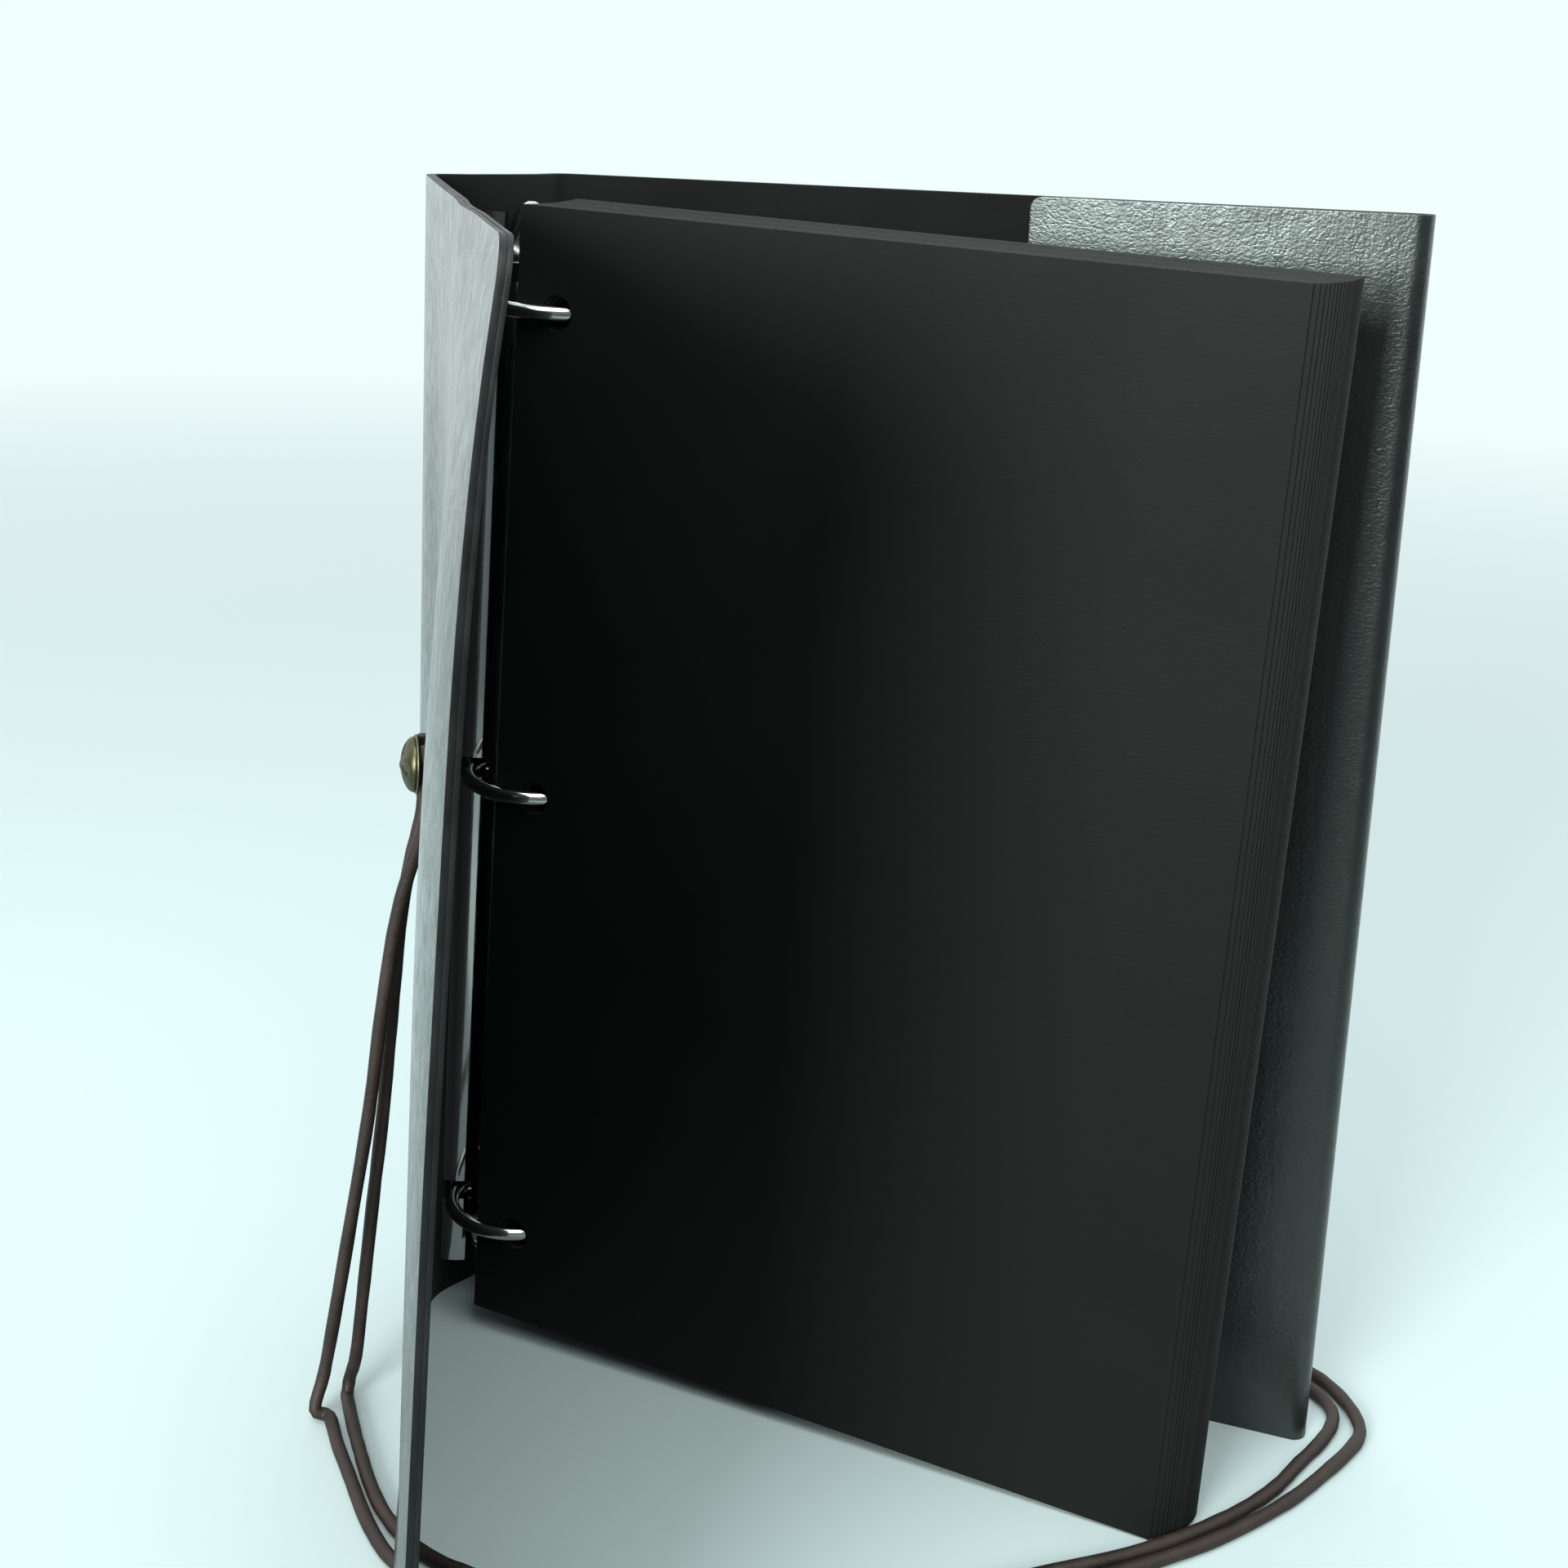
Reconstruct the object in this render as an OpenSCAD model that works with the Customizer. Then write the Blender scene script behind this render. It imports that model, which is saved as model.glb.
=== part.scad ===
// Photo album: a wrap cover of lined leather standing open on its lower edges,
// a three-ring mechanism on the spine, loose card sheets, and a thong on a button.
// Units are millimetres. Z is up, X runs to the right, Y runs away from the viewer.
// The origin is the middle of the spine's foot on the floor.

/* [Cover] */
// Height of the cover from its lower edge to its upper edge
cover_height = 271; // [262:0.5:290]
// Width of the spine between its two folds
spine_width = 36; // [36:0.5:44]
// Width of the front cover from fold to free edge
front_width = 191; // [184:0.5:210]
// Width of the back cover from the spine fold to the outside of the flap fold
back_width = 189; // [184:0.5:210]
// Width of the flap that is folded inwards
flap_width = 77; // [40:0.5:90]
// Thickness of the outer leather
leather_thick = 1.2; // [0.8:0.1:1.5]
// Thickness of the suede lining
lining_thick = 0.8; // [0.5:0.1:1]
// Rounding of the cover's free corners
corner_r = 6; // [2:0.5:14]
// Distance between the middles of the two layers at the flap fold
fold_pitch = 4.5; // [4:0.1:7]
// Distance that the front cover's free edge stands outwards at the floor
swell_low = 13.5; // [12:0.5:15]
// Part of that distance that is lost on the way up
swell_fall = 9.6; // [8:0.2:11]
// Curl of the upper free corner towards the sheets
corner_curl = 4.2; // [3:0.2:5]
// Bow of the front cover towards the sheets at mid height
belly_in = 6; // [5:0.2:6.5]

/* [Stance] */
// Compass direction of the spine seen from above
spine_yaw = 46; // [30:0.5:60]
// Angle between the spine and the front cover
front_open = 125; // [95:0.5:140]
// Angle between the spine and the back cover
back_open = 116; // [95:0.5:125]
// Angle that the sheets keep to the spine
sheet_open = 109.5; // [98:0.5:111]
// Lean of the rings and the sheets away from the spine
lean = 2; // [0:0.1:3]
// Turn of the ring mechanism on the spine
skew = 0.35; // [0:0.05:0.5]

/* [Rings] */
// Radius of a ring measured to the middle of its wire
ring_r = 14.3; // [13.5:0.1:14.5]
// Thickness of the ring wire
wire_d = 3.3; // [2.6:0.1:3.4]
// Distance between neighbouring rings
ring_pitch = 108; // [100:0.5:110]
// Distance from the lining to the middle of a ring
ring_rise = 15.5; // [15.3:0.1:16.5]
// Distance from the middle of an outer ring to the end of the ring plate
plate_over = 19; // [15:0.5:21]
// Width of the ring plate over its feet
plate_width = 19; // [18:0.5:20]
// Height of the ring plate above the lining
plate_height = 6; // [5.5:0.1:6.5]
// Thickness of the ring plate's steel
plate_thick = 0.8; // [0.6:0.1:1]
// Height of the mechanism's middle above the middle of the spine
ring_raise = 1; // [0.9:0.1:3]

/* [Sheets] */
// Width of a sheet
sheet_width = 163; // [150:0.5:165]
// Height of a sheet
sheet_height = 260; // [240:0.5:260]
// Thickness of a sheet
sheet_thick = 0.5; // [0.3:0.05:0.5]
// Distance from one sheet to the next
sheet_pitch = 0.58; // [0.56:0.01:0.6]
// Diameter of the punched holes
hole_d = 7.5; // [7.2:0.1:8]
// Distance from a sheet's inner edge to the middle of its holes
hole_inset = 9.5; // [8:0.1:10]
// Height by which the last sheet stands above the first
sheet_step = 1.2; // [0:0.1:1.5]

/* [Button and thong] */
// Distance of the button from the front fold
button_along = 45; // [44:0.5:49]
// Height of the button above the floor
button_z = 153; // [150:0.5:156]
// Diameter of the button
button_d = 13; // [11:0.5:18]
// Height of the button's dome
button_dome = 2.6; // [2:0.1:5]
// Thickness of the thong
thong_d = 3; // [2.4:0.1:3]
// Distance along the front cover to the middle of the arch over the thong
arch_along = 88; // [87:0.5:89]
// Width of the arch at the floor
arch_width = 28; // [27:0.5:32]
// Height of the arch
arch_height = 4.2; // [4:0.1:5]

/* [Hidden] */
$fn = 96;
cut = 1;
touch = 0.05;
cover_thick = leather_thick + lining_thick;
half = cover_thick / 2;
ply = half - leather_thick;
fold_x = spine_width / 2;
spine_flat = 11;
lean_slope = tan(lean);
mid_z = cover_height / 2;
fold_back = lean_slope * mid_z;
face = half / cos(lean);
fold_levels = 12;
fold_grip = 0.5;
knuckle_gap = 1.08;
knuckle_step = 0.2;

belly_low = 2.4;
bow_start = 14;
bow_ease = 30;
edge_roll = 4.5;
roll_peak = 12.2;
columns = front_width * [0, 0.09, 0.16, 0.325, 0.5, 0.68, 0.84, 0.93, 1.01];
rows = cover_height * [-0.004, 0.166, 0.33, 0.5, 0.63, 0.75, 0.875, 0.94, 1.004];
slab_reach = 36;

fold_turn = fold_pitch / 2;
fold_outer = fold_turn + half;
fold_along = back_width - fold_outer;
flap_gap = 0.4;
flap_tilt = asin((fold_pitch - cover_thick - flap_gap) / flap_width);

axis_y = -half - ring_rise;
plate_end = ring_pitch + plate_over;
plate_length = 2 * plate_end;
plate_top = -half - plate_height;
plate_half = plate_width / 2;
arch_r = (plate_half * plate_half + plate_height * plate_height) / (2 * plate_height);
plate_y = plate_top + arch_r;
slot_z = 4.8;
slot_x = 4.2;
slot_out = 11;
blade_thick = 0.8;
blade_y = -half - 0.9;
blade_out = 7.45;
blade_in = 0.15;
blade_over = 3;
blade_length = 2 * (ring_pitch + blade_over);
foot_d = 2.5;
foot_x = 6.9;
foot_sink = 0.8;
foot_top = axis_y + sqrt(ring_r * ring_r - foot_x * foot_x);
tip_gap = 0.1;
split_turn = 20;
end_slot = 10;
slot_bridge = 1.6;
end_slot_z = plate_over - slot_z / 2 - slot_bridge;

lever_width = 9;
lever_root_z = plate_end - 10;
lever_tip_z = plate_end - 0.5;
lever_root_y = -half - 3.6;
lever_root_r = 1.6;
lever_tip_y = -half - 6.4;
lever_tip_r = 3.1;
lever_neck_z = plate_end - 4.5;
lever_neck_y = lever_tip_y + 1.6;
lever_neck_width = lever_width - 2;
lever_fn = 32;

rivet_inset = 12;
rivet_z = ring_pitch - rivet_inset;
rivet_d = 3;
rivet_head_d = 6.4;
rivet_head_h = 1.2;
rivet_span = plate_height + cover_thick;
rivet_room = 9;
burr_d = 9;
burr_thick = 0.8;

sheet_count = 20;
front_lift = ring_r - 2.4;
sheet_low = -sheet_height / 2;

post_d = 4;
back_d = 10;
back_thick = 0.9;
back_gap = 0.1;
clamp_gap = thong_d + 0.2;
cap_rim = 1;
cap_well = 1.2;

route_facets = 8;
arch_r2 = (arch_width * arch_width / 4 + arch_height * arch_height) / (2 * arch_height);

// Frame of the spine: X along it, Y outwards, Z up, origin at its foot.
module spine_frame() {
  rotate([0, 0, spine_yaw])
    children();
}

// Frame that leans with the ring mechanism; its origin is at mid height.
module lean_frame() {
  spine_frame()
    translate([0, -fold_back, mid_z])
      rotate([lean, 0, 0])
        children();
}

module ring_frame() {
  lean_frame()
    rotate([0, skew, 0])
      translate([0, 0, ring_raise])
        children();
}

// Frame of the front cover: X from the fold to the free edge, Y inwards.
module front_frame() {
  spine_frame()
    translate([-fold_x, -fold_back, 0])
      rotate([0, 0, -front_open])
        children();
}

// Frame of the back cover: X from the fold to the flap fold, Y outwards.
module back_frame() {
  spine_frame()
    translate([fold_x, -fold_back, 0])
      rotate([0, 0, back_open - 180])
        children();
}

// Frame of the flap: origin in the middle of the flap fold, X towards the outside.
module flap_frame() {
  back_frame()
    translate([fold_along, -fold_turn, 0])
      rotate([0, 0, -flap_tilt])
        children();
}

// Distance that the front cover stands outwards from a flat sheet: more towards its
// free edge and its foot, bowed in at mid height, with the upper free corner curled back.
function swell(x, z) =
  let (
    s = min(max(z / cover_height, 0), 1),
    t = min(max(x / front_width, 0), 1),
    edge = swell_low - swell_fall * pow(s, 1.2) - corner_curl * pow(s, 8),
    e = min(max((x - bow_start) / bow_ease, 0), 1),
    bow = belly_in * sin(180 * pow(s, 1.2)) * e * e * (3 - 2 * e),
    belly = belly_low * (1 - s) - bow,
    curl = edge_roll * sin(180 * pow(s, 1.4)) * roll_peak
  )
  edge * t + belly * sin(180 * t) + curl * pow(t, 4) * (1 - t);

function cell(v, stops) = max([for (k = [0 : len(stops) - 2]) stops[k] <= v ? k : 0]);

// The same distance on the facets that the cover is laid out with, and its two slopes.
function facet(x, z) =
  let (
    i = cell(x, columns),
    j = cell(z, rows),
    w = columns[i + 1] - columns[i],
    h = rows[j + 1] - rows[j],
    u = (x - columns[i]) / w,
    v = (z - rows[j]) / h,
    a = swell(columns[i], rows[j]),
    b = swell(columns[i + 1], rows[j]),
    c = swell(columns[i], rows[j + 1]),
    d = swell(columns[i + 1], rows[j + 1])
  )
  [
    a * (1 - u) * (1 - v) + b * u * (1 - v) + c * (1 - u) * v + d * u * v,
    ((b - a) * (1 - v) + (d - c) * v) / w,
    ((c - a) * (1 - u) + (d - b) * u) / h
  ];

// Swelled sheet between two depths, as a closed mesh of few faces.
module swelled_slab(y0, y1) {
  m = len(columns);
  n = len(rows);
  all = m * n;
  points = [
    for (y = [y0, y1])
      for (z = rows)
        for (x = columns)
          [x, y - swell(x, z), z]
  ];
  outer = [
    for (j = [0 : n - 2])
      for (i = [0 : m - 2])
        let (k = j * m + i)
        each [[k, k + m, k + m + 1], [k, k + m + 1, k + 1]]
  ];
  inner = [for (f = outer) [f[0] + all, f[2] + all, f[1] + all]];
  foot = [for (i = [0 : m - 2]) [i, i + 1, i + 1 + all, i + all]];
  head = [for (i = [(n - 1) * m : n * m - 2]) [i + 1, i, i + all, i + 1 + all]];
  near = [for (j = [0 : n - 2]) [(j + 1) * m, j * m, j * m + all, (j + 1) * m + all]];
  far = [
    for (j = [1 : n - 1])
      [j * m - 1, (j + 1) * m - 1, (j + 1) * m - 1 + all, j * m - 1 + all]
  ];
  polyhedron(points = points, faces = concat(outer, inner, foot, head, near, far));
}

// Upright panel from x0 to x1 between the two depths, free corners rounded.
module panel(x0, x1, y0, y1, sign) {
  w = x1 - x0;
  inset = corner_r;
  translate([x0, y1, 0])
    rotate([90, 0, 0])
      linear_extrude(height = y1 - y0)
        union() {
          translate([sign > 0 ? 0 : inset, 0])
            square([w - inset, cover_height]);
          translate([sign > 0 ? w - inset - cut : 0, inset])
            square([inset + cut, cover_height - 2 * inset]);
          for (z = [inset, cover_height - inset])
            translate([sign > 0 ? w - inset : inset, z])
              circle(r = inset);
        }
}

module fold_groove() {
  translate([0, 0, -cut])
    cylinder(r = half + touch, h = cover_height + 2 * cut);
}

module thong_arch() {
  translate([arch_along, 0, arch_height - arch_r2])
    rotate([90, 0, 0])
      cylinder(r = arch_r2, h = 2 * slab_reach, center = true);
}

// Frame of the button on the swelled face: Z points outwards.
module button_seat() {
  f = facet(button_along, button_z);
  translate([button_along, -f[0], button_z])
    rotate([atan(f[2]), 0, -atan(f[1])])
      rotate([90, 0, 0])
        children();
}

module button_bore(r) {
  button_seat()
    cylinder(r = r, h = 4 * cover_thick, center = true);
}

module front_ply(y0, y1) {
  front_frame()
    difference() {
      intersection() {
        panel(0, front_width, -slab_reach, slab_reach, 1);
        swelled_slab(y0, y1);
      }
      fold_groove();
      thong_arch();
      button_bore(post_d / 2 + touch);
    }
}

module back_ply(y0, y1) {
  back_frame()
    difference() {
      translate([0, y0, 0])
        cube([fold_along, y1 - y0, cover_height]);
      fold_groove();
    }
}

module spine_ply(y0, y1) {
  difference() {
    intersection() {
      lean_frame()
        translate([-spine_flat, y0, -cover_height])
          cube([2 * spine_flat, y1 - y0, 2 * cover_height]);
      spine_frame()
        translate([-spine_width, -spine_width, 0])
          cube([2 * spine_width, 2 * spine_width, cover_height]);
    }
    rivet_bores();
  }
}

module rivet_bores() {
  for (s = [-1, 1])
    ring_frame()
      translate([0, 2 * half, s * rivet_z])
        rotate([90, 0, 0])
          cylinder(d = rivet_d + 2 * touch, h = 2 * spine_width);
}

// Soft strip of the cover between the leaning spine and an upright fold.
function strip_ring(z, side) = [
  [side * (fold_x - fold_grip), -fold_back - half, z],
  [side * spine_flat, -lean_slope * z - face, z],
  [side * spine_flat, -lean_slope * z + face, z],
  [side * (fold_x - fold_grip), -fold_back + half, z]
];

module tube_mesh(rings, flip) {
  m = len(rings[0]);
  n = len(rings);
  points = [for (r = rings) each r];
  low = [for (k = [0 : m - 1]) flip ? m - 1 - k : k];
  high = [for (k = [0 : m - 1]) (n - 1) * m + (flip ? k : m - 1 - k)];
  sides = [
    for (j = [0 : n - 2])
      for (k = [0 : m - 1])
        for (h = [0, 1])
          h == 0
            ? (flip ? [j * m + k, j * m + (k + 1) % m, (j + 1) * m + k]
                    : [j * m + k, (j + 1) * m + k, j * m + (k + 1) % m])
            : (flip ? [j * m + (k + 1) % m, (j + 1) * m + (k + 1) % m, (j + 1) * m + k]
                    : [j * m + (k + 1) % m, (j + 1) * m + k, (j + 1) * m + (k + 1) % m])
  ];
  polyhedron(points = points, faces = concat([low], [high], sides));
}

// The strip stops short of the bead on the inside, so that the cover can close.
module fold_strip(side) {
  spine_frame()
    union() {
      difference() {
        tube_mesh([for (j = [0 : fold_levels]) strip_ring(cover_height * j / fold_levels, side)],
                  side > 0);
        translate([side * fold_x - knuckle_gap, -fold_back - knuckle_step - spine_width, -cut])
          cube([2 * knuckle_gap, spine_width, cover_height + 2 * cut]);
      }
      translate([side * fold_x, -fold_back, 0])
        cylinder(r = half, h = cover_height);
    }
}

module leather_front() {
  color([0.10, 0.10, 0.10])
    front_ply(-half, -ply);
}

module lining_front() {
  color([0.05, 0.05, 0.05])
    front_ply(-ply, half);
}

module leather_back() {
  color([0.10, 0.10, 0.10])
    back_ply(ply, half);
}

module lining_back() {
  color([0.05, 0.05, 0.05])
    back_ply(-half, ply);
}

module leather_spine() {
  color([0.10, 0.10, 0.10])
    spine_ply(ply, half);
}

module lining_spine() {
  color([0.05, 0.05, 0.05])
    spine_ply(-half, ply);
}

module fold_front() {
  color([0.10, 0.10, 0.10])
    fold_strip(-1);
}

module fold_back_strip() {
  color([0.10, 0.10, 0.10])
    fold_strip(1);
}

// Half of an upright tube that joins the back cover to the flap.
module bend(r0, r1) {
  back_frame()
    translate([fold_along, -fold_turn, 0])
      intersection() {
        difference() {
          cylinder(r = r1, h = cover_height);
          translate([0, 0, -cut])
            cylinder(r = r0, h = cover_height + 2 * cut);
        }
        translate([0, -fold_outer - cut, 0])
          cube([fold_outer + cut, 2 * (fold_outer + cut), cover_height]);
      }
}

module leather_fold() {
  color([0.10, 0.10, 0.10])
    bend(fold_turn + ply, fold_outer);
}

module lining_fold() {
  color([0.05, 0.05, 0.05])
    bend(fold_turn - half, fold_turn + ply);
}

module leather_flap() {
  color([0.12, 0.12, 0.12])
    flap_frame()
      panel(-flap_width, 0, -fold_outer, -fold_turn - ply, -1);
}

module lining_flap() {
  color([0.05, 0.05, 0.05])
    flap_frame()
      panel(-flap_width, 0, -fold_turn - ply, -fold_turn + half, -1);
}

module ring_slots() {
  for (z = [-ring_pitch, 0, ring_pitch])
    for (s = [-1, 1])
      translate([s * (slot_x + slot_out) / 2, 0, z])
        cube([slot_out - slot_x, 2 * plate_width, slot_z], center = true);
}

module end_slots() {
  for (s = [-1, 1])
    translate([0, 0, s * (plate_length / 2 - end_slot_z / 2 + cut / 2)])
      cube([end_slot, 2 * plate_width, end_slot_z + cut], center = true);
}

module ring_plate() {
  color([0.80, 0.80, 0.80])
    difference() {
      ring_frame()
        intersection() {
          translate([0, plate_y, -plate_length / 2])
            difference() {
              cylinder(r = arch_r, h = plate_length);
              translate([0, 0, -cut])
                cylinder(r = arch_r - plate_thick, h = plate_length + 2 * cut);
            }
          translate([-plate_half - cut, plate_top - cut, -plate_length / 2])
            cube([plate_width + 2 * cut, plate_height + cut, plate_length]);
        }
      ring_frame()
        ring_slots();
      ring_frame()
        end_slots();
      rivet_bores();
    }
}

module blade(s) {
  color([0.62, 0.62, 0.62])
    difference() {
      ring_frame()
        translate([s > 0 ? blade_in : -blade_out, blade_y - blade_thick / 2, -blade_length / 2])
          cube([blade_out - blade_in, blade_thick, blade_length]);
      for (t = [-1, 1])
        ring_frame()
          translate([0, 0, t * rivet_z])
            cube([rivet_room, plate_width, rivet_room], center = true);
    }
}

module blade_left() {
  blade(-1);
}

module blade_right() {
  blade(1);
}

// Space that one half of a ring fills. The split is turned towards the back cover,
// so that all sheets hang on the left half while the album stands like this.
module half_space(s) {
  reach = 2 * ring_r;
  near = s > 0 ? tip_gap : -reach;
  translate([0, axis_y, -wire_d])
    union() {
      translate([near, 0, 0])
        cube([reach - tip_gap, foot_top - axis_y, 2 * wire_d]);
      intersection() {
        rotate([0, 0, split_turn])
          translate([near, -reach, 0])
            cube([reach - tip_gap, 2 * reach, 2 * wire_d]);
        translate([-reach, -reach, 0])
          cube([2 * reach, reach, 2 * wire_d]);
      }
    }
}

// Half of a ring with its straight foot, which is riveted into the blade.
module half_ring(s, z) {
  color([0.85, 0.85, 0.85])
    ring_frame()
      translate([0, 0, z])
        union() {
          intersection() {
            translate([0, axis_y, 0])
              rotate_extrude()
                translate([ring_r, 0])
                  circle(d = wire_d, $fn = 48);
            half_space(s);
          }
          translate([s * foot_x, blade_y, 0])
            rotate([90, 0, 0])
              cylinder(d = foot_d, h = blade_y - foot_top + foot_sink);
        }
}

module ring_left_top() {
  half_ring(-1, ring_pitch);
}

module ring_left_middle() {
  half_ring(-1, 0);
}

module ring_left_bottom() {
  half_ring(-1, -ring_pitch);
}

module ring_right_top() {
  half_ring(1, ring_pitch);
}

module ring_right_middle() {
  half_ring(1, 0);
}

module ring_right_bottom() {
  half_ring(1, -ring_pitch);
}

// Opening lever at one end of the plate: a rounded tab that rises to a ball tip.
module lever(s) {
  color([0.85, 0.85, 0.85])
    ring_frame()
      union() {
        hull() {
          translate([0, lever_root_y, s * lever_root_z])
            rotate([0, 90, 0])
              cylinder(r = lever_root_r, h = lever_width, center = true, $fn = lever_fn);
          translate([0, lever_neck_y, s * lever_neck_z])
            rotate([0, 90, 0])
              cylinder(r = lever_root_r, h = lever_neck_width, center = true, $fn = lever_fn);
        }
        hull() {
          translate([0, lever_neck_y, s * lever_neck_z])
            rotate([0, 90, 0])
              cylinder(r = lever_root_r, h = lever_neck_width, center = true, $fn = lever_fn);
          translate([0, lever_tip_y, s * lever_tip_z])
            sphere(r = lever_tip_r, $fn = lever_fn);
        }
      }
}

module lever_top() {
  lever(1);
}

module lever_bottom() {
  lever(-1);
}

// Rivet through the plate, the lining and the leather, with a domed head.
module rivet(s) {
  color([0.80, 0.80, 0.80])
    ring_frame()
      translate([0, half + burr_thick, s * rivet_z])
        rotate([90, 0, 0])
          union() {
            cylinder(d = rivet_d, h = rivet_span + burr_thick + rivet_head_h / 2);
            translate([0, 0, rivet_span + burr_thick])
              intersection() {
                cylinder(d = rivet_head_d, h = rivet_head_h);
                translate([0, 0, rivet_head_h - rivet_head_d])
                  sphere(r = rivet_head_d);
              }
          }
}

module rivet_top() {
  rivet(1);
}

module rivet_bottom() {
  rivet(-1);
}

// Washer that the end of the rivet is spread over, outside the spine.
module burr(s) {
  color([0.72, 0.70, 0.62])
    ring_frame()
      translate([0, half + burr_thick, s * rivet_z])
        rotate([90, 0, 0])
          difference() {
            cylinder(d = burr_d, h = burr_thick);
            translate([0, 0, -cut])
              cylinder(d = rivet_d, h = burr_thick + 2 * cut);
          }
}

module burr_top() {
  burr(1);
}

module burr_bottom() {
  burr(-1);
}

module button_frame() {
  front_frame()
    button_seat()
      children();
}

// Domed cap over the ends of the thong.
module button_cap() {
  r = button_d / 2;
  dome_r = (r * r + button_dome * button_dome) / (2 * button_dome);
  color([0.42, 0.34, 0.22])
    button_frame()
      translate([0, 0, half + clamp_gap])
        difference() {
          union() {
            cylinder(r = r, h = cap_rim);
            translate([0, 0, cap_rim])
              intersection() {
                translate([0, 0, button_dome - dome_r])
                  sphere(r = dome_r);
                cylinder(r = r, h = button_dome);
              }
          }
          translate([0, 0, -cut])
            cylinder(d = post_d, h = cut + cap_well);
        }
}

module button_post() {
  color([0.42, 0.34, 0.22])
    button_frame()
      translate([0, 0, -half - back_gap])
        cylinder(d = post_d, h = back_gap + cover_thick + clamp_gap + cap_well);
}

module button_back() {
  color([0.42, 0.34, 0.22])
    button_frame()
      translate([0, 0, -half - back_gap - back_thick])
        cylinder(d = back_d, h = back_thick);
}

// Point in front of the swelled outer face: distance along, distance out, height.
function face_point(along, out, z) =
  let (d = out + facet(along, z)[0])
  [
    -fold_x * cos(spine_yaw) + fold_back * sin(spine_yaw)
      + along * cos(spine_yaw - front_open) + d * sin(spine_yaw - front_open),
    -fold_x * sin(spine_yaw) - fold_back * cos(spine_yaw)
      + along * sin(spine_yaw - front_open) - d * cos(spine_yaw - front_open),
    z
  ];

thong_r = thong_d / 2;
low = thong_r + 0.1;
clamp_y = half + thong_r + 0.1;
clamp_up = 5;
clamp_down = 3;
hang_z = 11;

// Way of the thong: down from the button, under the front cover, across the floor
// in front of the sheets, round the flap fold, back again beside the first strand.
route = [
  face_point(button_along + post_d, clamp_y, button_z + clamp_up),
  face_point(button_along + post_d, clamp_y, button_z - clamp_down),
  face_point(button_along + 3, clamp_y, button_z - hang_z),
  face_point(46.5, clamp_y + 2, 133),
  face_point(45, 7.6, 120),
  face_point(44, 9.8, 100),
  face_point(43, 11.8, 75),
  face_point(42, 14.6, 50),
  face_point(40, 17.6, 25),
  face_point(38.5, 19.6, 10),
  face_point(41, 21.2, 3),
  [-22.9, -62, low],
  [-19.4, -71.5, low],
  [-15.2, -81.4, low],
  [-10.8, -92, low],
  [-6.8, -100.2, low],
  [-2.4, -107, low],
  [3.4, -112, low],
  [11, -115.4, low],
  [20, -117.6, low],
  [36, -119.8, low],
  [56, -120.8, low],
  [76, -120, low],
  [96, -117.2, low],
  [115, -112.6, low],
  [132, -106.6, low],
  [148.2, -99.9, low],
  [163.4, -92, low],
  [176, -83.6, low],
  [186.4, -75.2, low],
  [194.8, -66.8, low],
  [202, -59, low],
  [206.5, -52.5, low],
  [207.5, -46, low],
  [206.5, -39, low],
  [203.5, -31.5, low],
  [198, -25.5, low],
  [190.5, -21, low],
  [183.5, -20, low],
  [180.5, -22.5, low],
  [183.5, -26, low],
  [190, -28, low],
  [196.5, -31.5, low],
  [200.8, -37, low],
  [202.6, -43.5, low],
  [201, -49.5, low],
  [196.4, -56.4, low],
  [190, -63.8, low],
  [182.6, -72.7, low],
  [173.6, -80.6, low],
  [162, -88.4, low],
  [146.9, -96.3, low],
  [130.7, -102.4, low],
  [113.8, -108.4, low],
  [94.8, -113, low],
  [75.4, -115.6, low],
  [56, -116.2, low],
  [36.4, -115.2, low],
  [20.6, -113, low],
  [12.2, -110, low],
  [5.2, -106, low],
  [-0.8, -100.4, low],
  [-6, -93, low],
  [-10.3, -84, low],
  [-14, -74, low],
  [-17.4, -64, low],
  [-20.4, -54, low],
  face_point(34.5, 14.6, 1.8),
  face_point(33.2, 14.2, 5),
  face_point(34, 12.9, 11),
  face_point(35, 11.9, 25),
  face_point(37, 10.1, 50),
  face_point(39, 8.5, 75),
  face_point(40.2, 7.4, 100),
  face_point(41, 6.2, 120),
  face_point(button_along - 3.6, clamp_y + 1.8, 133),
  face_point(button_along - 3.8, clamp_y, button_z - hang_z),
  face_point(button_along - post_d, clamp_y, button_z - clamp_down),
  face_point(button_along - post_d, clamp_y, button_z + clamp_up)
];

function unit(v) = v / norm(v);

function heading(i) = unit(route[min(i + 1, len(route) - 1)] - route[max(i - 1, 0)]);

// Sideways direction of the thong's section: level, or along the cover where it hangs.
outward = [sin(spine_yaw - front_open), -cos(spine_yaw - front_open), 0];

function side_of(t) = unit(cross(t, abs(t[2]) > 0.7 ? outward : [0, 0, 1]));

function thong_ring(i) = [
  for (k = [0 : route_facets - 1])
    let (
      t = heading(i),
      a = side_of(t),
      b = cross(a, t),
      w = 360 * (k + 0.5) / route_facets
    )
    route[i] + thong_r * (cos(w) * a + sin(w) * b)
];

module thong() {
  color([0.20, 0.12, 0.08])
    tube_mesh([for (i = [0 : len(route) - 1]) thong_ring(i)], false);
}

// Height of a sheet's middle above the middle of the rings.
function sheet_lift(i) = front_lift - sheet_pitch * i;

function leg(long, short) = sqrt(long * long - short * short);

// The hole is centred on the wire's slanting way through the sheet.
function sheet_reach(i) =
  (leg(ring_r - wire_d / 2, sheet_lift(i) + sheet_thick / 2)
   + leg(ring_r + wire_d / 2, sheet_lift(i) - sheet_thick / 2)) / 2;

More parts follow.
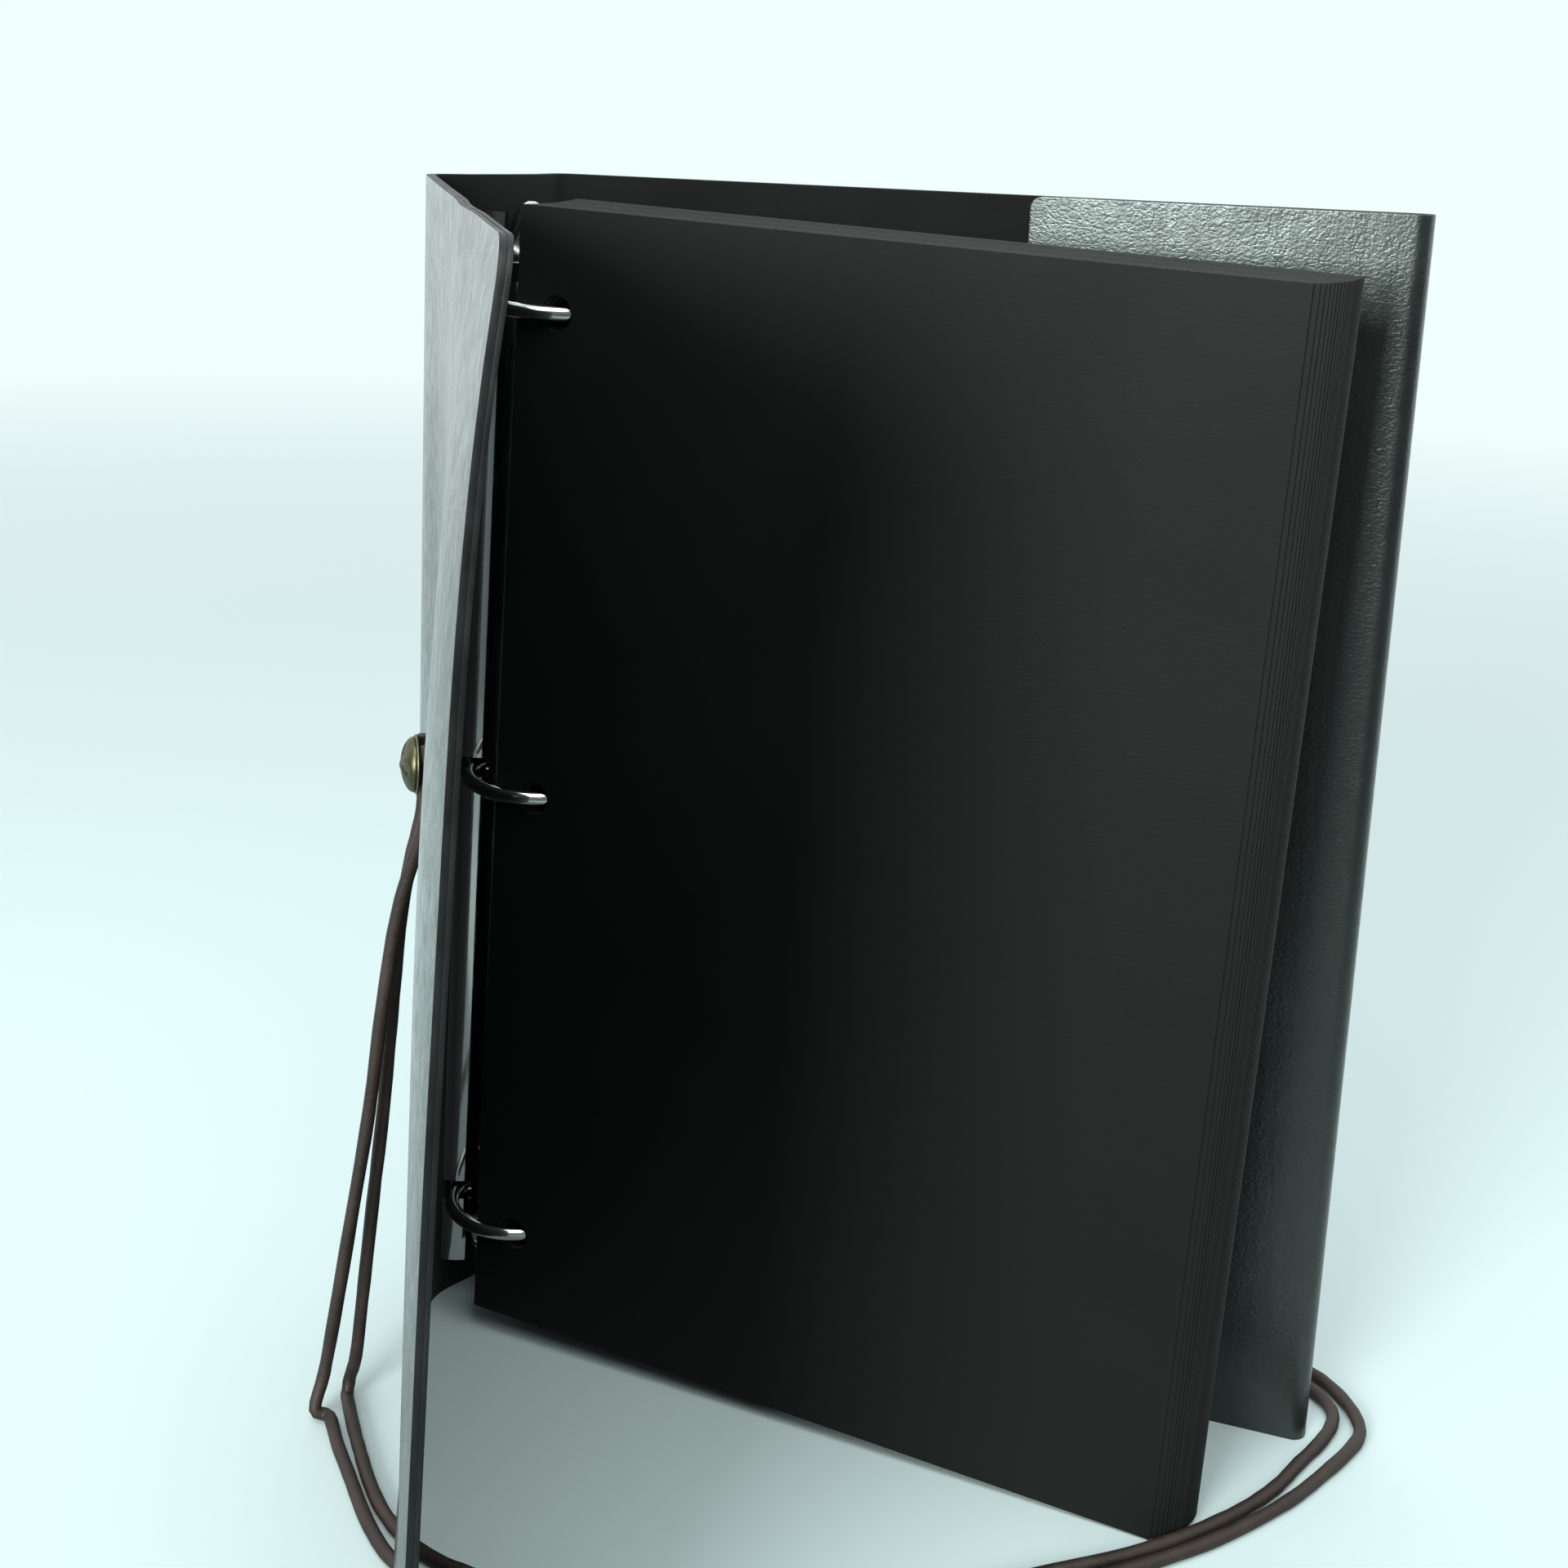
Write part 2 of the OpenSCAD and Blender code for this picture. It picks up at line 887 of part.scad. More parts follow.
module sheet(i) {
  color([0.07, 0.07, 0.07])
    ring_frame()
      translate([0, axis_y, sheet_step * i / (sheet_count - 1)])
        rotate([0, 0, sheet_open - 180])
          translate([sheet_reach(i) - hole_inset, -sheet_lift(i) + sheet_thick / 2, sheet_low])
            difference() {
              translate([0, -sheet_thick, 0])
                cube([sheet_width, sheet_thick, sheet_height]);
              for (z = [-ring_pitch, 0, ring_pitch])
                translate([hole_inset, cut, z - sheet_low])
                  rotate([90, 0, 0])
                    cylinder(d = hole_d, h = sheet_thick + 2 * cut, $fn = 48);
            }
}

module page_01() {
  sheet(0);
}

module page_02() {
  sheet(1);
}

module page_03() {
  sheet(2);
}

module page_04() {
  sheet(3);
}

module page_05() {
  sheet(4);
}

module page_06() {
  sheet(5);
}

module page_07() {
  sheet(6);
}

module page_08() {
  sheet(7);
}

module page_09() {
  sheet(8);
}

module page_10() {
  sheet(9);
}

module page_11() {
  sheet(10);
}

module page_12() {
  sheet(11);
}

module page_13() {
  sheet(12);
}

module page_14() {
  sheet(13);
}

module page_15() {
  sheet(14);
}

module page_16() {
  sheet(15);
}

module page_17() {
  sheet(16);
}

module page_18() {
  sheet(17);
}

module page_19() {
  sheet(18);
}

module page_20() {
  sheet(19);
}

leather_front();
lining_front();
leather_spine();
lining_spine();
leather_back();
lining_back();
fold_front();
fold_back_strip();
leather_fold();
lining_fold();
leather_flap();
lining_flap();
ring_plate();
blade_left();
blade_right();
ring_left_top();
ring_left_middle();
ring_left_bottom();
ring_right_top();
ring_right_middle();
ring_right_bottom();
lever_top();
lever_bottom();
rivet_top();
rivet_bottom();
burr_top();
burr_bottom();
button_cap();
button_post();
button_back();
thong();
page_01();
page_02();
page_03();
page_04();
page_05();
page_06();
page_07();
page_08();
page_09();
page_10();
page_11();
page_12();
page_13();
page_14();
page_15();
page_16();
page_17();
page_18();
page_19();
page_20();
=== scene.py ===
"""Looks of a leather ring album: lined wrap cover, chrome rings, card sheets, button and thong."""

import math

import bpy
import numpy as np
from bpy.props import FloatProperty, FloatVectorProperty, PointerProperty
from mathutils import Matrix, Vector


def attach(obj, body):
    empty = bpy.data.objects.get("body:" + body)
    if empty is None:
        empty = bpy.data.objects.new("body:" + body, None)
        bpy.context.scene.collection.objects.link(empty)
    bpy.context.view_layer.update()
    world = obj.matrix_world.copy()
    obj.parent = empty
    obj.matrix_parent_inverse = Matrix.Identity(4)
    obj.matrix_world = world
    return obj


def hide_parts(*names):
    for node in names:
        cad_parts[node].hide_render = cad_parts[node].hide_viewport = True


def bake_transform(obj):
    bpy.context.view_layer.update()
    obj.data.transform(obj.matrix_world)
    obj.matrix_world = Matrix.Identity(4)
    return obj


bl_info = {
    "name": "Leather ring album",
    "version": (1, 0, 0),
    "blender": (4, 5, 0),
    "location": "View3D > Sidebar > Album",
    "description": "Builds the soft cover, button and thong of a ring album and finishes all its parts",
    "category": "Object",
}

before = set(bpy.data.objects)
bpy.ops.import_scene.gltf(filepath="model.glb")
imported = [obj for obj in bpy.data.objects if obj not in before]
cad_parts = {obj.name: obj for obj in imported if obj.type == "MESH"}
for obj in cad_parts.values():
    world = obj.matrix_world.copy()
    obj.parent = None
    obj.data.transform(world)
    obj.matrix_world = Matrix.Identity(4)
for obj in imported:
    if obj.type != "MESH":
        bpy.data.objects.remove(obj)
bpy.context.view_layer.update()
MM = 0.001

# Stance and sizes of the album, in millimetres and degrees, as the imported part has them.
SPINE_YAW = 46.0
FRONT_OPEN = 125.0
BACK_OPEN = 116.0
SHEET_OPEN = 109.5
LEAN = math.tan(math.radians(2.0))
HEIGHT = 271.0
FOLD_X = 18.0
FOLD_BACK = LEAN * HEIGHT / 2
SPINE_FLAT = 11.0
FRONT_WIDTH = 191.0
BACK_WIDTH = 189.0
FLAP_WIDTH = 77.0
FOLD_PITCH = 4.5
HALF = 1.0
FOLD_TURN = FOLD_PITCH / 2
FOLD_ALONG = BACK_WIDTH - FOLD_TURN - HALF
FLAP_GAP = 0.4
FLAP_TILT = math.asin((FOLD_PITCH - 2 * HALF - FLAP_GAP) / FLAP_WIDTH)

# Layers of the cover: distance of each layer's middle from the cover's middle, and thickness.
LEATHER_OUT = 0.4
LINING_IN = 0.6
LEATHER_THICK = 1.16
LINING_THICK = 0.78
RIM_ROUND = 0.22
FOLD_SOFTNESS = 4.0
FLAP_CORNER = 2.5
CORNER_REACH = 24.0

# Shape of the swelled front cover.
SWELL_LOW = 13.5
SWELL_FALL = 9.6
CORNER_CURL = 4.2
BELLY_LOW = 2.4
BELLY_IN = 6.0
BOW_START = 14.0
BOW_EASE = 30.0
EDGE_ROLL = 4.5
ROLL_PEAK = 12.2
ARCH_ALONG = 88.0
ARCH_HALF = 14.0
ARCH_HEIGHT = 4.2
ARCH_FADE = 30.0
KINK_ALONG = 120.0
KINK_HALF = 14.0
KINK_OUT = 0.7
KINK_FADE = 26.0

# How far the leather stands off its even shape where it has settled into soft waves.
FRONT_WAVE = 0.25
BACK_WAVE = 0.3
FLAP_WAVE = 0.35

# Button: sizes of its cap, in millimetres.
DOME_RADIUS = 5.8
CAP_EDGE = 0.6
CAP_HEIGHT = 3.5
STAR_FROM = 1.2
STAR_TO = 5.0
STAR_DEPTH = 0.28

# Way of the thong in metres: down from the button, under the front cover, across the floor
# in front of the sheets, round the flap fold and back again beside the first strand.
THONG_ROUTE = [
    (-0.0018, -0.0647, 0.1580),
    (-0.0019, -0.0648, 0.1500),
    (-0.0023, -0.0638, 0.1420),
    (-0.0048, -0.0628, 0.1330),
    (-0.0084, -0.0619, 0.1200),
    (-0.0114, -0.0615, 0.1000),
    (-0.0143, -0.0611, 0.0750),
    (-0.0181, -0.0608, 0.0500),
    (-0.0221, -0.0595, 0.0250),
    (-0.0247, -0.0585, 0.0100),
    (-0.0262, -0.0613, 0.0030),
    (-0.0229, -0.0620, 0.0016),
    (-0.0194, -0.0715, 0.0016),
    (-0.0152, -0.0814, 0.0016),
    (-0.0108, -0.0920, 0.0016),
    (-0.0068, -0.1002, 0.0016),
    (-0.0024, -0.1070, 0.0016),
    (0.0034, -0.1120, 0.0016),
    (0.0110, -0.1154, 0.0016),
    (0.0200, -0.1176, 0.0016),
    (0.0360, -0.1198, 0.0016),
    (0.0560, -0.1208, 0.0016),
    (0.0760, -0.1200, 0.0016),
    (0.0960, -0.1172, 0.0016),
    (0.1150, -0.1126, 0.0016),
    (0.1320, -0.1066, 0.0016),
    (0.1482, -0.0999, 0.0016),
    (0.1634, -0.0920, 0.0016),
    (0.1760, -0.0836, 0.0016),
    (0.1864, -0.0752, 0.0016),
    (0.1948, -0.0668, 0.0016),
    (0.2020, -0.0590, 0.0016),
    (0.2065, -0.0525, 0.0016),
    (0.2075, -0.0460, 0.0016),
    (0.2065, -0.0390, 0.0016),
    (0.2035, -0.0315, 0.0016),
    (0.1980, -0.0255, 0.0016),
    (0.1905, -0.0210, 0.0016),
    (0.1835, -0.0200, 0.0016),
    (0.1805, -0.0225, 0.0016),
    (0.1835, -0.0260, 0.0016),
    (0.1900, -0.0280, 0.0016),
    (0.1965, -0.0315, 0.0016),
    (0.2008, -0.0370, 0.0016),
    (0.2026, -0.0435, 0.0016),
    (0.2010, -0.0495, 0.0016),
    (0.1964, -0.0564, 0.0016),
    (0.1900, -0.0638, 0.0016),
    (0.1826, -0.0727, 0.0016),
    (0.1736, -0.0806, 0.0016),
    (0.1620, -0.0884, 0.0016),
    (0.1469, -0.0963, 0.0016),
    (0.1307, -0.1024, 0.0016),
    (0.1138, -0.1084, 0.0016),
    (0.0948, -0.1130, 0.0016),
    (0.0754, -0.1156, 0.0016),
    (0.0560, -0.1162, 0.0016),
    (0.0364, -0.1152, 0.0016),
    (0.0206, -0.1130, 0.0016),
    (0.0122, -0.1100, 0.0016),
    (0.0052, -0.1060, 0.0016),
    (-0.0008, -0.1004, 0.0016),
    (-0.0060, -0.0930, 0.0016),
    (-0.0103, -0.0840, 0.0016),
    (-0.0140, -0.0740, 0.0016),
    (-0.0174, -0.0640, 0.0016),
    (-0.0204, -0.0540, 0.0016),
    (-0.0204, -0.0536, 0.0018),
    (-0.0201, -0.0522, 0.0050),
    (-0.0186, -0.0527, 0.0110),
    (-0.0171, -0.0535, 0.0250),
    (-0.0145, -0.0550, 0.0500),
    (-0.0118, -0.0565, 0.0750),
    (-0.0097, -0.0573, 0.1000),
    (-0.0079, -0.0578, 0.1200),
    (-0.0057, -0.0577, 0.1330),
    (-0.0038, -0.0572, 0.1420),
    (-0.0038, -0.0570, 0.1500),
    (-0.0037, -0.0569, 0.1580),
]


def turn(points, degrees):
    """Points turned about the upright axis."""
    a = math.radians(degrees)
    c, s = math.cos(a), math.sin(a)
    x, y, z = points[..., 0], points[..., 1], points[..., 2]
    return np.stack([c * x - s * y, s * x + c * y, z], axis=-1)


def from_spine(points):
    return turn(np.asarray(points, float), SPINE_YAW)


def from_back(points):
    """Back cover: X from the fold to the flap fold, Y outwards."""
    p = turn(np.asarray(points, float), BACK_OPEN - 180)
    return from_spine(p + np.array([FOLD_X, -FOLD_BACK, 0]))


def deselect_all():
    if bpy.context.object and bpy.context.object.mode != "OBJECT":
        bpy.ops.object.mode_set(mode="OBJECT")
    bpy.ops.object.select_all(action="DESELECT")


def make_active(obj):
    deselect_all()
    obj.select_set(True)
    bpy.context.view_layer.objects.active = obj


def apply_modifiers(obj):
    make_active(obj)
    for modifier in list(obj.modifiers):
        bpy.ops.object.modifier_apply(modifier=modifier.name)


def read_points(mesh):
    co = np.zeros(len(mesh.vertices) * 3)
    mesh.vertices.foreach_get("co", co)
    return co.reshape(-1, 3)


def write_points(mesh, points):
    mesh.vertices.foreach_set("co", np.ascontiguousarray(points).ravel())
    mesh.update()


def turn_faces_out(obj):
    make_active(obj)
    bpy.ops.object.mode_set(mode="EDIT")
    bpy.ops.mesh.select_all(action="SELECT")
    bpy.ops.mesh.normals_make_consistent(inside=False)
    bpy.ops.object.mode_set(mode="OBJECT")


def soften_rim(obj):
    """Rounds the sharp edges of a sheet, but leaves the edges along its seam as they are."""
    mesh = obj.data
    seam = obj.vertex_groups["seam"].index
    in_seam = [any(g.group == seam for g in v.groups) for v in mesh.vertices]
    normals = {}
    for face in mesh.polygons:
        for key in face.edge_keys:
            normals.setdefault(key, []).append(face.normal)
    weights = mesh.attributes.new("bevel_weight_edge", "FLOAT", "EDGE")
    for edge in mesh.edges:
        a, b = edge.vertices
        pair = normals.get(edge.key, [])
        sharp = len(pair) == 2 and pair[0].angle(pair[1], 0) > math.radians(50)
        weights.data[edge.index].value = 1.0 if sharp and not (in_seam[a] and in_seam[b]) else 0.0
    rim = obj.modifiers.new("Edge", "BEVEL")
    rim.width = RIM_ROUND * MM
    rim.segments = 2
    rim.limit_method = "WEIGHT"
    apply_modifiers(obj)


def leather_sheet(name, points, thickness, materials):
    """A grid laid out in rows and columns, thickened and softened at its rim.

    Its first column is the seam, where it meets the next sheet.
    """
    rows, columns = points.shape[:2]
    deselect_all()
    bpy.ops.mesh.primitive_grid_add(x_subdivisions=columns - 1, y_subdivisions=rows - 1, size=1)
    obj = bpy.context.object
    obj.name = name
    co = read_points(obj.data)
    i = np.rint((co[:, 0] + 0.5) * (columns - 1)).astype(int)
    j = np.rint((co[:, 1] + 0.5) * (rows - 1)).astype(int)
    write_points(obj.data, points[j, i] * MM)
    seam = obj.vertex_groups.new(name="seam")
    seam.add([int(k) for k in np.nonzero(i == 0)[0]], 1.0, "REPLACE")
    for material in materials:
        obj.data.materials.append(material)
    shell = obj.modifiers.new("Thickness", "SOLIDIFY")
    shell.thickness = thickness * MM
    shell.offset = 0
    shell.use_even_offset = True
    shell.material_offset_rim = len(materials) - 1
    apply_modifiers(obj)
    soften_rim(obj)
    turn_faces_out(obj)
    bpy.ops.object.shade_smooth_by_angle(angle=math.radians(40))
    return obj


def waves(x, z, seed, scale):
    """A calm wave pattern made of a few turned sine waves."""
    total = np.zeros_like(x)
    state = np.random.RandomState(seed)
    for _ in range(6):
        a = state.uniform(0, math.pi)
        k = state.uniform(0.6, 1.6) / scale
        phase = state.uniform(0, 2 * math.pi)
        total += np.sin((x * math.cos(a) + z * math.sin(a)) * k * 2 * math.pi + phase)
    return total / 6


def upright_levels():
    """Heights of the rows, close together near the upper and lower edge."""
    low = np.array([0, 0.35, 0.9, 1.7, 2.8, 4.2, 6.0, 9.0, 13.0])
    middle = np.linspace(17, HEIGHT - 17, 62)
    return np.concatenate([low, middle, HEIGHT - low[::-1]])


def soft_path(corners, spacing, rounding):
    """A line through the corners with its bends rounded, as points a fixed way apart."""
    pts = np.asarray(corners, float)
    lengths = np.linalg.norm(np.diff(pts, axis=0), axis=1)
    along = np.concatenate([[0], np.cumsum(lengths)])
    n = int(math.ceil(along[-1] / spacing))
    s = np.linspace(0, along[-1], n + 1)
    line = np.stack([np.interp(s, along, pts[:, k]) for k in range(2)], axis=1)
    step = along[-1] / n
    reach = int(round(3 * rounding / step))
    kernel = np.exp(-0.5 * (np.arange(-reach, reach + 1) * step / rounding) ** 2)
    kernel /= kernel.sum()
    head = line[0] - np.outer(np.arange(reach, 0, -1) * step, (line[1] - line[0]) / step)
    tail = line[-1] + np.outer(np.arange(1, reach + 1) * step, (line[-1] - line[-2]) / step)
    wide = np.concatenate([head, line, tail])
    soft = np.stack([np.convolve(wide[:, k], kernel, "valid") for k in range(2)], axis=1)
    return soft, s, along[2]


def along_path(path, s, wanted):
    """Points of a path at the wanted distances, and the directions to its right."""
    p = np.stack([np.interp(wanted, s, path[:, k]) for k in range(2)], axis=1)
    d = np.stack([np.gradient(path[:, k], s) for k in range(2)], axis=1)
    t = np.stack([np.interp(wanted, s, d[:, k]) for k in range(2)], axis=1)
    t /= np.linalg.norm(t, axis=1)[:, None]
    return p, np.stack([t[:, 1], -t[:, 0]], axis=1)


def corner_cut(z, radius):
    """How far a rounded free corner cuts into the sheet at a height."""
    reach = min(z, HEIGHT - z)
    if reach >= radius:
        return 0.0
    return radius - math.sqrt(max(radius**2 - (radius - reach) ** 2, 0))


def cover_points(corners_at, stations, depth, free_round, shape):
    """Rows of points on one layer of the cover. depth is its distance to the right of the path."""
    rows = []
    for z in upright_levels():
        path, s, fold_at = soft_path(corners_at(z), 0.5, FOLD_SOFTNESS)
        u = stations * (s[-1] / stations[-1])
        if free_round:
            share = np.clip((u - (s[-1] - CORNER_REACH)) / CORNER_REACH, 0, 1)
            u = u - share * corner_cut(z, free_round)
        p, n = along_path(path, s, u)
        out, lift = shape(u - fold_at, np.full_like(u, z))
        p = p + n * (depth + out)[:, None]
        rows.append(np.stack([p[:, 0], p[:, 1], z + lift], axis=1))
    return np.array(rows)


def front_corners(z):
    """Plan of the front half of the cover at a height: middle of the spine, fold, free edge."""
    a = math.radians(-FRONT_OPEN)
    return [
        (0.0, -LEAN * z),
        (-SPINE_FLAT, -LEAN * z),
        (-FOLD_X, -FOLD_BACK),
        (-FOLD_X + FRONT_WIDTH * math.cos(a), -FOLD_BACK + FRONT_WIDTH * math.sin(a)),
    ]


def back_corners(z):
    """Plan of the back half of the cover at a height, as far as the flap fold."""
    a = math.radians(BACK_OPEN - 180)
    return [
        (0.0, -LEAN * z),
        (SPINE_FLAT, -LEAN * z),
        (FOLD_X, -FOLD_BACK),
        (FOLD_X + FOLD_ALONG * math.cos(a), -FOLD_BACK + FOLD_ALONG * math.sin(a)),
    ]


def front_shape(x, z):
    """How far the front cover stands outwards from flat, and how far its lower edge is lifted."""
    s = np.clip(z / HEIGHT, 0, 1)
    t = np.clip(x / FRONT_WIDTH, 0, 1)
    ease = np.clip((x - BOW_START) / BOW_EASE, 0, 1)
    edge = SWELL_LOW - SWELL_FALL * s**1.2 - CORNER_CURL * s**8
    bow = BELLY_IN * np.sin(math.pi * s**1.2) * ease**2 * (3 - 2 * ease)
    belly = BELLY_LOW * (1 - s) - bow
    curl = EDGE_ROLL * np.sin(math.pi * s**1.4) * ROLL_PEAK
    out = edge * t + belly * np.sin(math.pi * t) + curl * t**4 * (1 - t)
    out += FRONT_WAVE * np.clip((x - 20) / 40, 0, 1) * waves(x, z, 5, 85)
    # A soft kink at the upper edge, and the arch over the thong at the lower one.
    along = np.exp(-(((x - KINK_ALONG) / KINK_HALF) ** 2))
    out += KINK_OUT * along * np.exp(-(HEIGHT - z) / KINK_FADE)
    arch = np.clip(1 - ((x - ARCH_ALONG) / ARCH_HALF) ** 2, 0, 1) * ARCH_HEIGHT
    return out, arch * np.clip(1 - z / ARCH_FADE, 0, 1) ** 1.5


def back_shape(x, z):
    hold = np.clip(x / 40, 0, 1) * np.clip((FOLD_ALONG - x) / 30, 0, 1)
    return BACK_WAVE * hold * waves(x, z, 9, 95), np.zeros_like(x)


def front_stations():
    middle = np.linspace(36.5, 190, 72)
    return np.concatenate(
        [np.linspace(0, 9, 7), np.linspace(10, 34, 26), middle,
         [193, 196, 199, 202, 204.5, 206.8, 208.3, 209.2, 209.7, 210.0]])


def back_stations():
    return np.concatenate([np.linspace(0, 9, 7), np.linspace(10, 34, 26), np.linspace(36.5, 204.5, 62)])


def flap_points(depth):
    """Points of one layer of the flap, from the back cover round the fold to the free edge."""
    r = FOLD_TURN
    angles = np.radians(np.linspace(90, -90, 17))
    arc = np.stack(
        [FOLD_ALONG + (r + depth) * np.cos(angles), -r + (r + depth) * np.sin(angles)], axis=1)
    near = [0.6, 1.6, 3.0, 5.0, 8.0]
    far = [FLAP_WIDTH - d for d in (5, 3, 1.5, 0.6, 0)]
    steps = np.concatenate([near, np.linspace(11, FLAP_WIDTH - 8, 34), far])
    rows = []
    for z in upright_levels():
        share = np.clip((steps - (FLAP_WIDTH - CORNER_REACH)) / CORNER_REACH, 0, 1)
        s = steps - share * corner_cut(z, FLAP_CORNER)
        drop = r + depth - s * math.sin(FLAP_TILT)
        swell = FLAP_WAVE * np.clip(s / 20, 0, 1) * waves(s, np.full_like(s, z), 14, 60)
        flat = np.stack([FOLD_ALONG - s * math.cos(FLAP_TILT), -r - drop - np.abs(swell)], axis=1)
        both = np.concatenate([arc, flat])
        rows.append(np.concatenate([both, np.full((len(both), 1), z)], axis=1))
    return np.array(rows)


def new_material(name):
    material = bpy.data.materials.new(name)
    material.use_nodes = True
    tree = material.node_tree
    return material, tree, tree.nodes["Principled BSDF"]


def add(tree, kind, **values):
    node = tree.nodes.new(kind)
    for key, value in values.items():
        if key in node.inputs.keys():
            node.inputs[key].default_value = value
        else:
            setattr(node, key, value)
    return node


def object_place(tree, scale=(1, 1, 1), turned=(0, 0, 0)):
    where = add(tree, "ShaderNodeTexCoord")
    mapping = add(tree, "ShaderNodeMapping")
    mapping.inputs["Scale"].default_value = scale
    mapping.inputs["Rotation"].default_value = turned
    tree.links.new(where.outputs["Object"], mapping.inputs["Vector"])
    return mapping.outputs["Vector"]


def noise(tree, place, scale, detail=4.0, rough=0.55, distortion=0.0):
    node = add(tree, "ShaderNodeTexNoise", Scale=scale, Detail=detail, Roughness=rough)
    node.inputs["Distortion"].default_value = distortion
    tree.links.new(place, node.inputs["Vector"])
    return node.outputs["Fac"]


def cells(tree, place, scale, feature, smooth=0.0):
    node = add(tree, "ShaderNodeTexVoronoi", feature=feature, Scale=scale)
    if feature == "SMOOTH_F1":
        node.inputs["Smoothness"].default_value = smooth
    tree.links.new(place, node.inputs["Vector"])
    return node.outputs["Distance"]


def ramp(tree, value, stops):
    node = add(tree, "ShaderNodeValToRGB")
    points = node.color_ramp.elements
    points[0].position, points[0].color = stops[0][0], (*stops[0][1], 1)
    points[1].position, points[1].color = stops[-1][0], (*stops[-1][1], 1)
    for position, color in stops[1:-1]:
        element = points.new(position)
        element.color = (*color, 1)
    tree.links.new(value, node.inputs["Fac"])
    return node.outputs["Color"]


def spread(tree, value, low, high, start=0.0, end=1.0):
    node = add(tree, "ShaderNodeMapRange")
    node.inputs["From Min"].default_value = start
    node.inputs["From Max"].default_value = end
    node.inputs["To Min"].default_value = low
    node.inputs["To Max"].default_value = high
    tree.links.new(value, node.inputs["Value"])
    return node.outputs["Result"]


def join(tree, a, b, operation="ADD"):
    node = add(tree, "ShaderNodeMath", operation=operation)
    tree.links.new(a, node.inputs[0])
    tree.links.new(b, node.inputs[1])
    return node.outputs["Value"]


def blend_colors(tree, share, a, b):
    node = add(tree, "ShaderNodeMix", data_type="RGBA")
    tree.links.new(share, node.inputs[0])
    for socket, color in ((node.inputs[6], a), (node.inputs[7], b)):
        if isinstance(color, tuple):
            socket.default_value = (*color, 1)
        else:
            tree.links.new(color, socket)
    return node.outputs[2]


def bump(tree, shader, height, distance, strength, before=None):
    node = add(tree, "ShaderNodeBump")
    node.inputs["Distance"].default_value = distance
    node.inputs["Strength"].default_value = strength
    tree.links.new(height, node.inputs["Height"])
    if before is not None:
        tree.links.new(before, node.inputs["Normal"])
    tree.links.new(node.outputs["Normal"], shader.inputs["Normal"])
    return node.outputs["Normal"]


def shades(color, *levels):
    return [tuple(c * k for c in color) for k in levels]


def grain_leather(name, color, shine):
    """Black grained leather: fine pebbled grain, long soft creases, uneven gloss."""
    material, tree, shader = new_material(name)
    place = object_place(tree)
    upright = object_place(tree, scale=(1, 1, 0.1))
    pebbles = cells(tree, place, 1500, "SMOOTH_F1", 0.6)
    pores = noise(tree, place, 2000, 3)
    patches = noise(tree, place, 24, 6, 0.65)
    mottle = noise(tree, object_place(tree, scale=(1, 1, 0.6)), 380, 5, 0.7)
    streaks = noise(tree, upright, 75, 6, 0.62, 0.4)
    creases = noise(tree, upright, 26, 4, 0.5, 1.2)
    wrinkles = cells(tree, object_place(tree, scale=(1, 1, 2.2)), 420, "DISTANCE_TO_EDGE")
    dark, middle, light = shades(color, 0.7, 1.0, 1.5)
    tint = ramp(tree, mottle, [(0.3, dark), (0.5, middle), (0.75, light)])
    tree.links.new(tint, shader.inputs["Base Color"])
    even = spread(tree, patches, shine + 0.06, shine - 0.06, 0.3, 0.7)
    uneven = join(tree, spread(tree, mottle, 0.12, -0.10, 0.3, 0.7), even)
    tree.links.new(uneven, shader.inputs["Roughness"])
    shader.inputs["Specular IOR Level"].default_value = 0.6
    shader.inputs["Specular Tint"].default_value = (0.88, 1.0, 0.96, 1)
    shader.inputs["Coat Weight"].default_value = 0.75
    tree.links.new(spread(tree, mottle, 0.32, 0.14, 0.3, 0.7), shader.inputs["Coat Roughness"])
    creased = bump(tree, shader, creases, 0.0009, 0.4)
    streaked = bump(tree, shader, streaks, 0.0003, 0.45, creased)
    furrows = spread(tree, wrinkles, 0.0, 1.0, 0.0, 0.12)
    wrinkled = bump(tree, shader, furrows, 0.00003, 0.4, streaked)
    pebbled = bump(tree, shader, pebbles, 0.00008, 0.4, wrinkled)
    bump(tree, shader, pores, 0.00004, 0.4, pebbled)
    tree.links.new(pebbled, shader.inputs["Coat Normal"])
    return material


def suede(name, color):
    """Matte black napped lining with a soft brushed cloudiness."""
    material, tree, shader = new_material(name)
    place = object_place(tree)
    nap = noise(tree, place, 1800, 3, 0.7)
    clouds = noise(tree, place, 35, 5, 0.6)
    dark, light = shades(color, 0.7, 1.5)
    tree.links.new(ramp(tree, clouds, [(0.3, dark), (0.75, light)]), shader.inputs["Base Color"])
    shader.inputs["Roughness"].default_value = 0.9
    shader.inputs["Specular IOR Level"].default_value = 0.2
    shader.inputs["Sheen Weight"].default_value = 0.1
    shader.inputs["Sheen Roughness"].default_value = 0.5
    bump(tree, shader, nap, 0.00015, 0.6)
    return material


def painted_edge(name, color):
    """Cut edge of the leather, painted and rubbed smooth, slightly glossy."""
    material, tree, shader = new_material(name)
    rub = noise(tree, object_place(tree, scale=(1, 1, 0.35)), 260, 5, 0.6)
    dark, light = shades(color, 0.7, 1.4)
    tree.links.new(ramp(tree, rub, [(0.35, dark), (0.7, light)]), shader.inputs["Base Color"])
    tree.links.new(spread(tree, rub, 0.38, 0.6, 0.3, 0.7), shader.inputs["Roughness"])
    shader.inputs["Specular IOR Level"].default_value = 0.35
    bump(tree, shader, rub, 0.00015, 0.5)
    return material


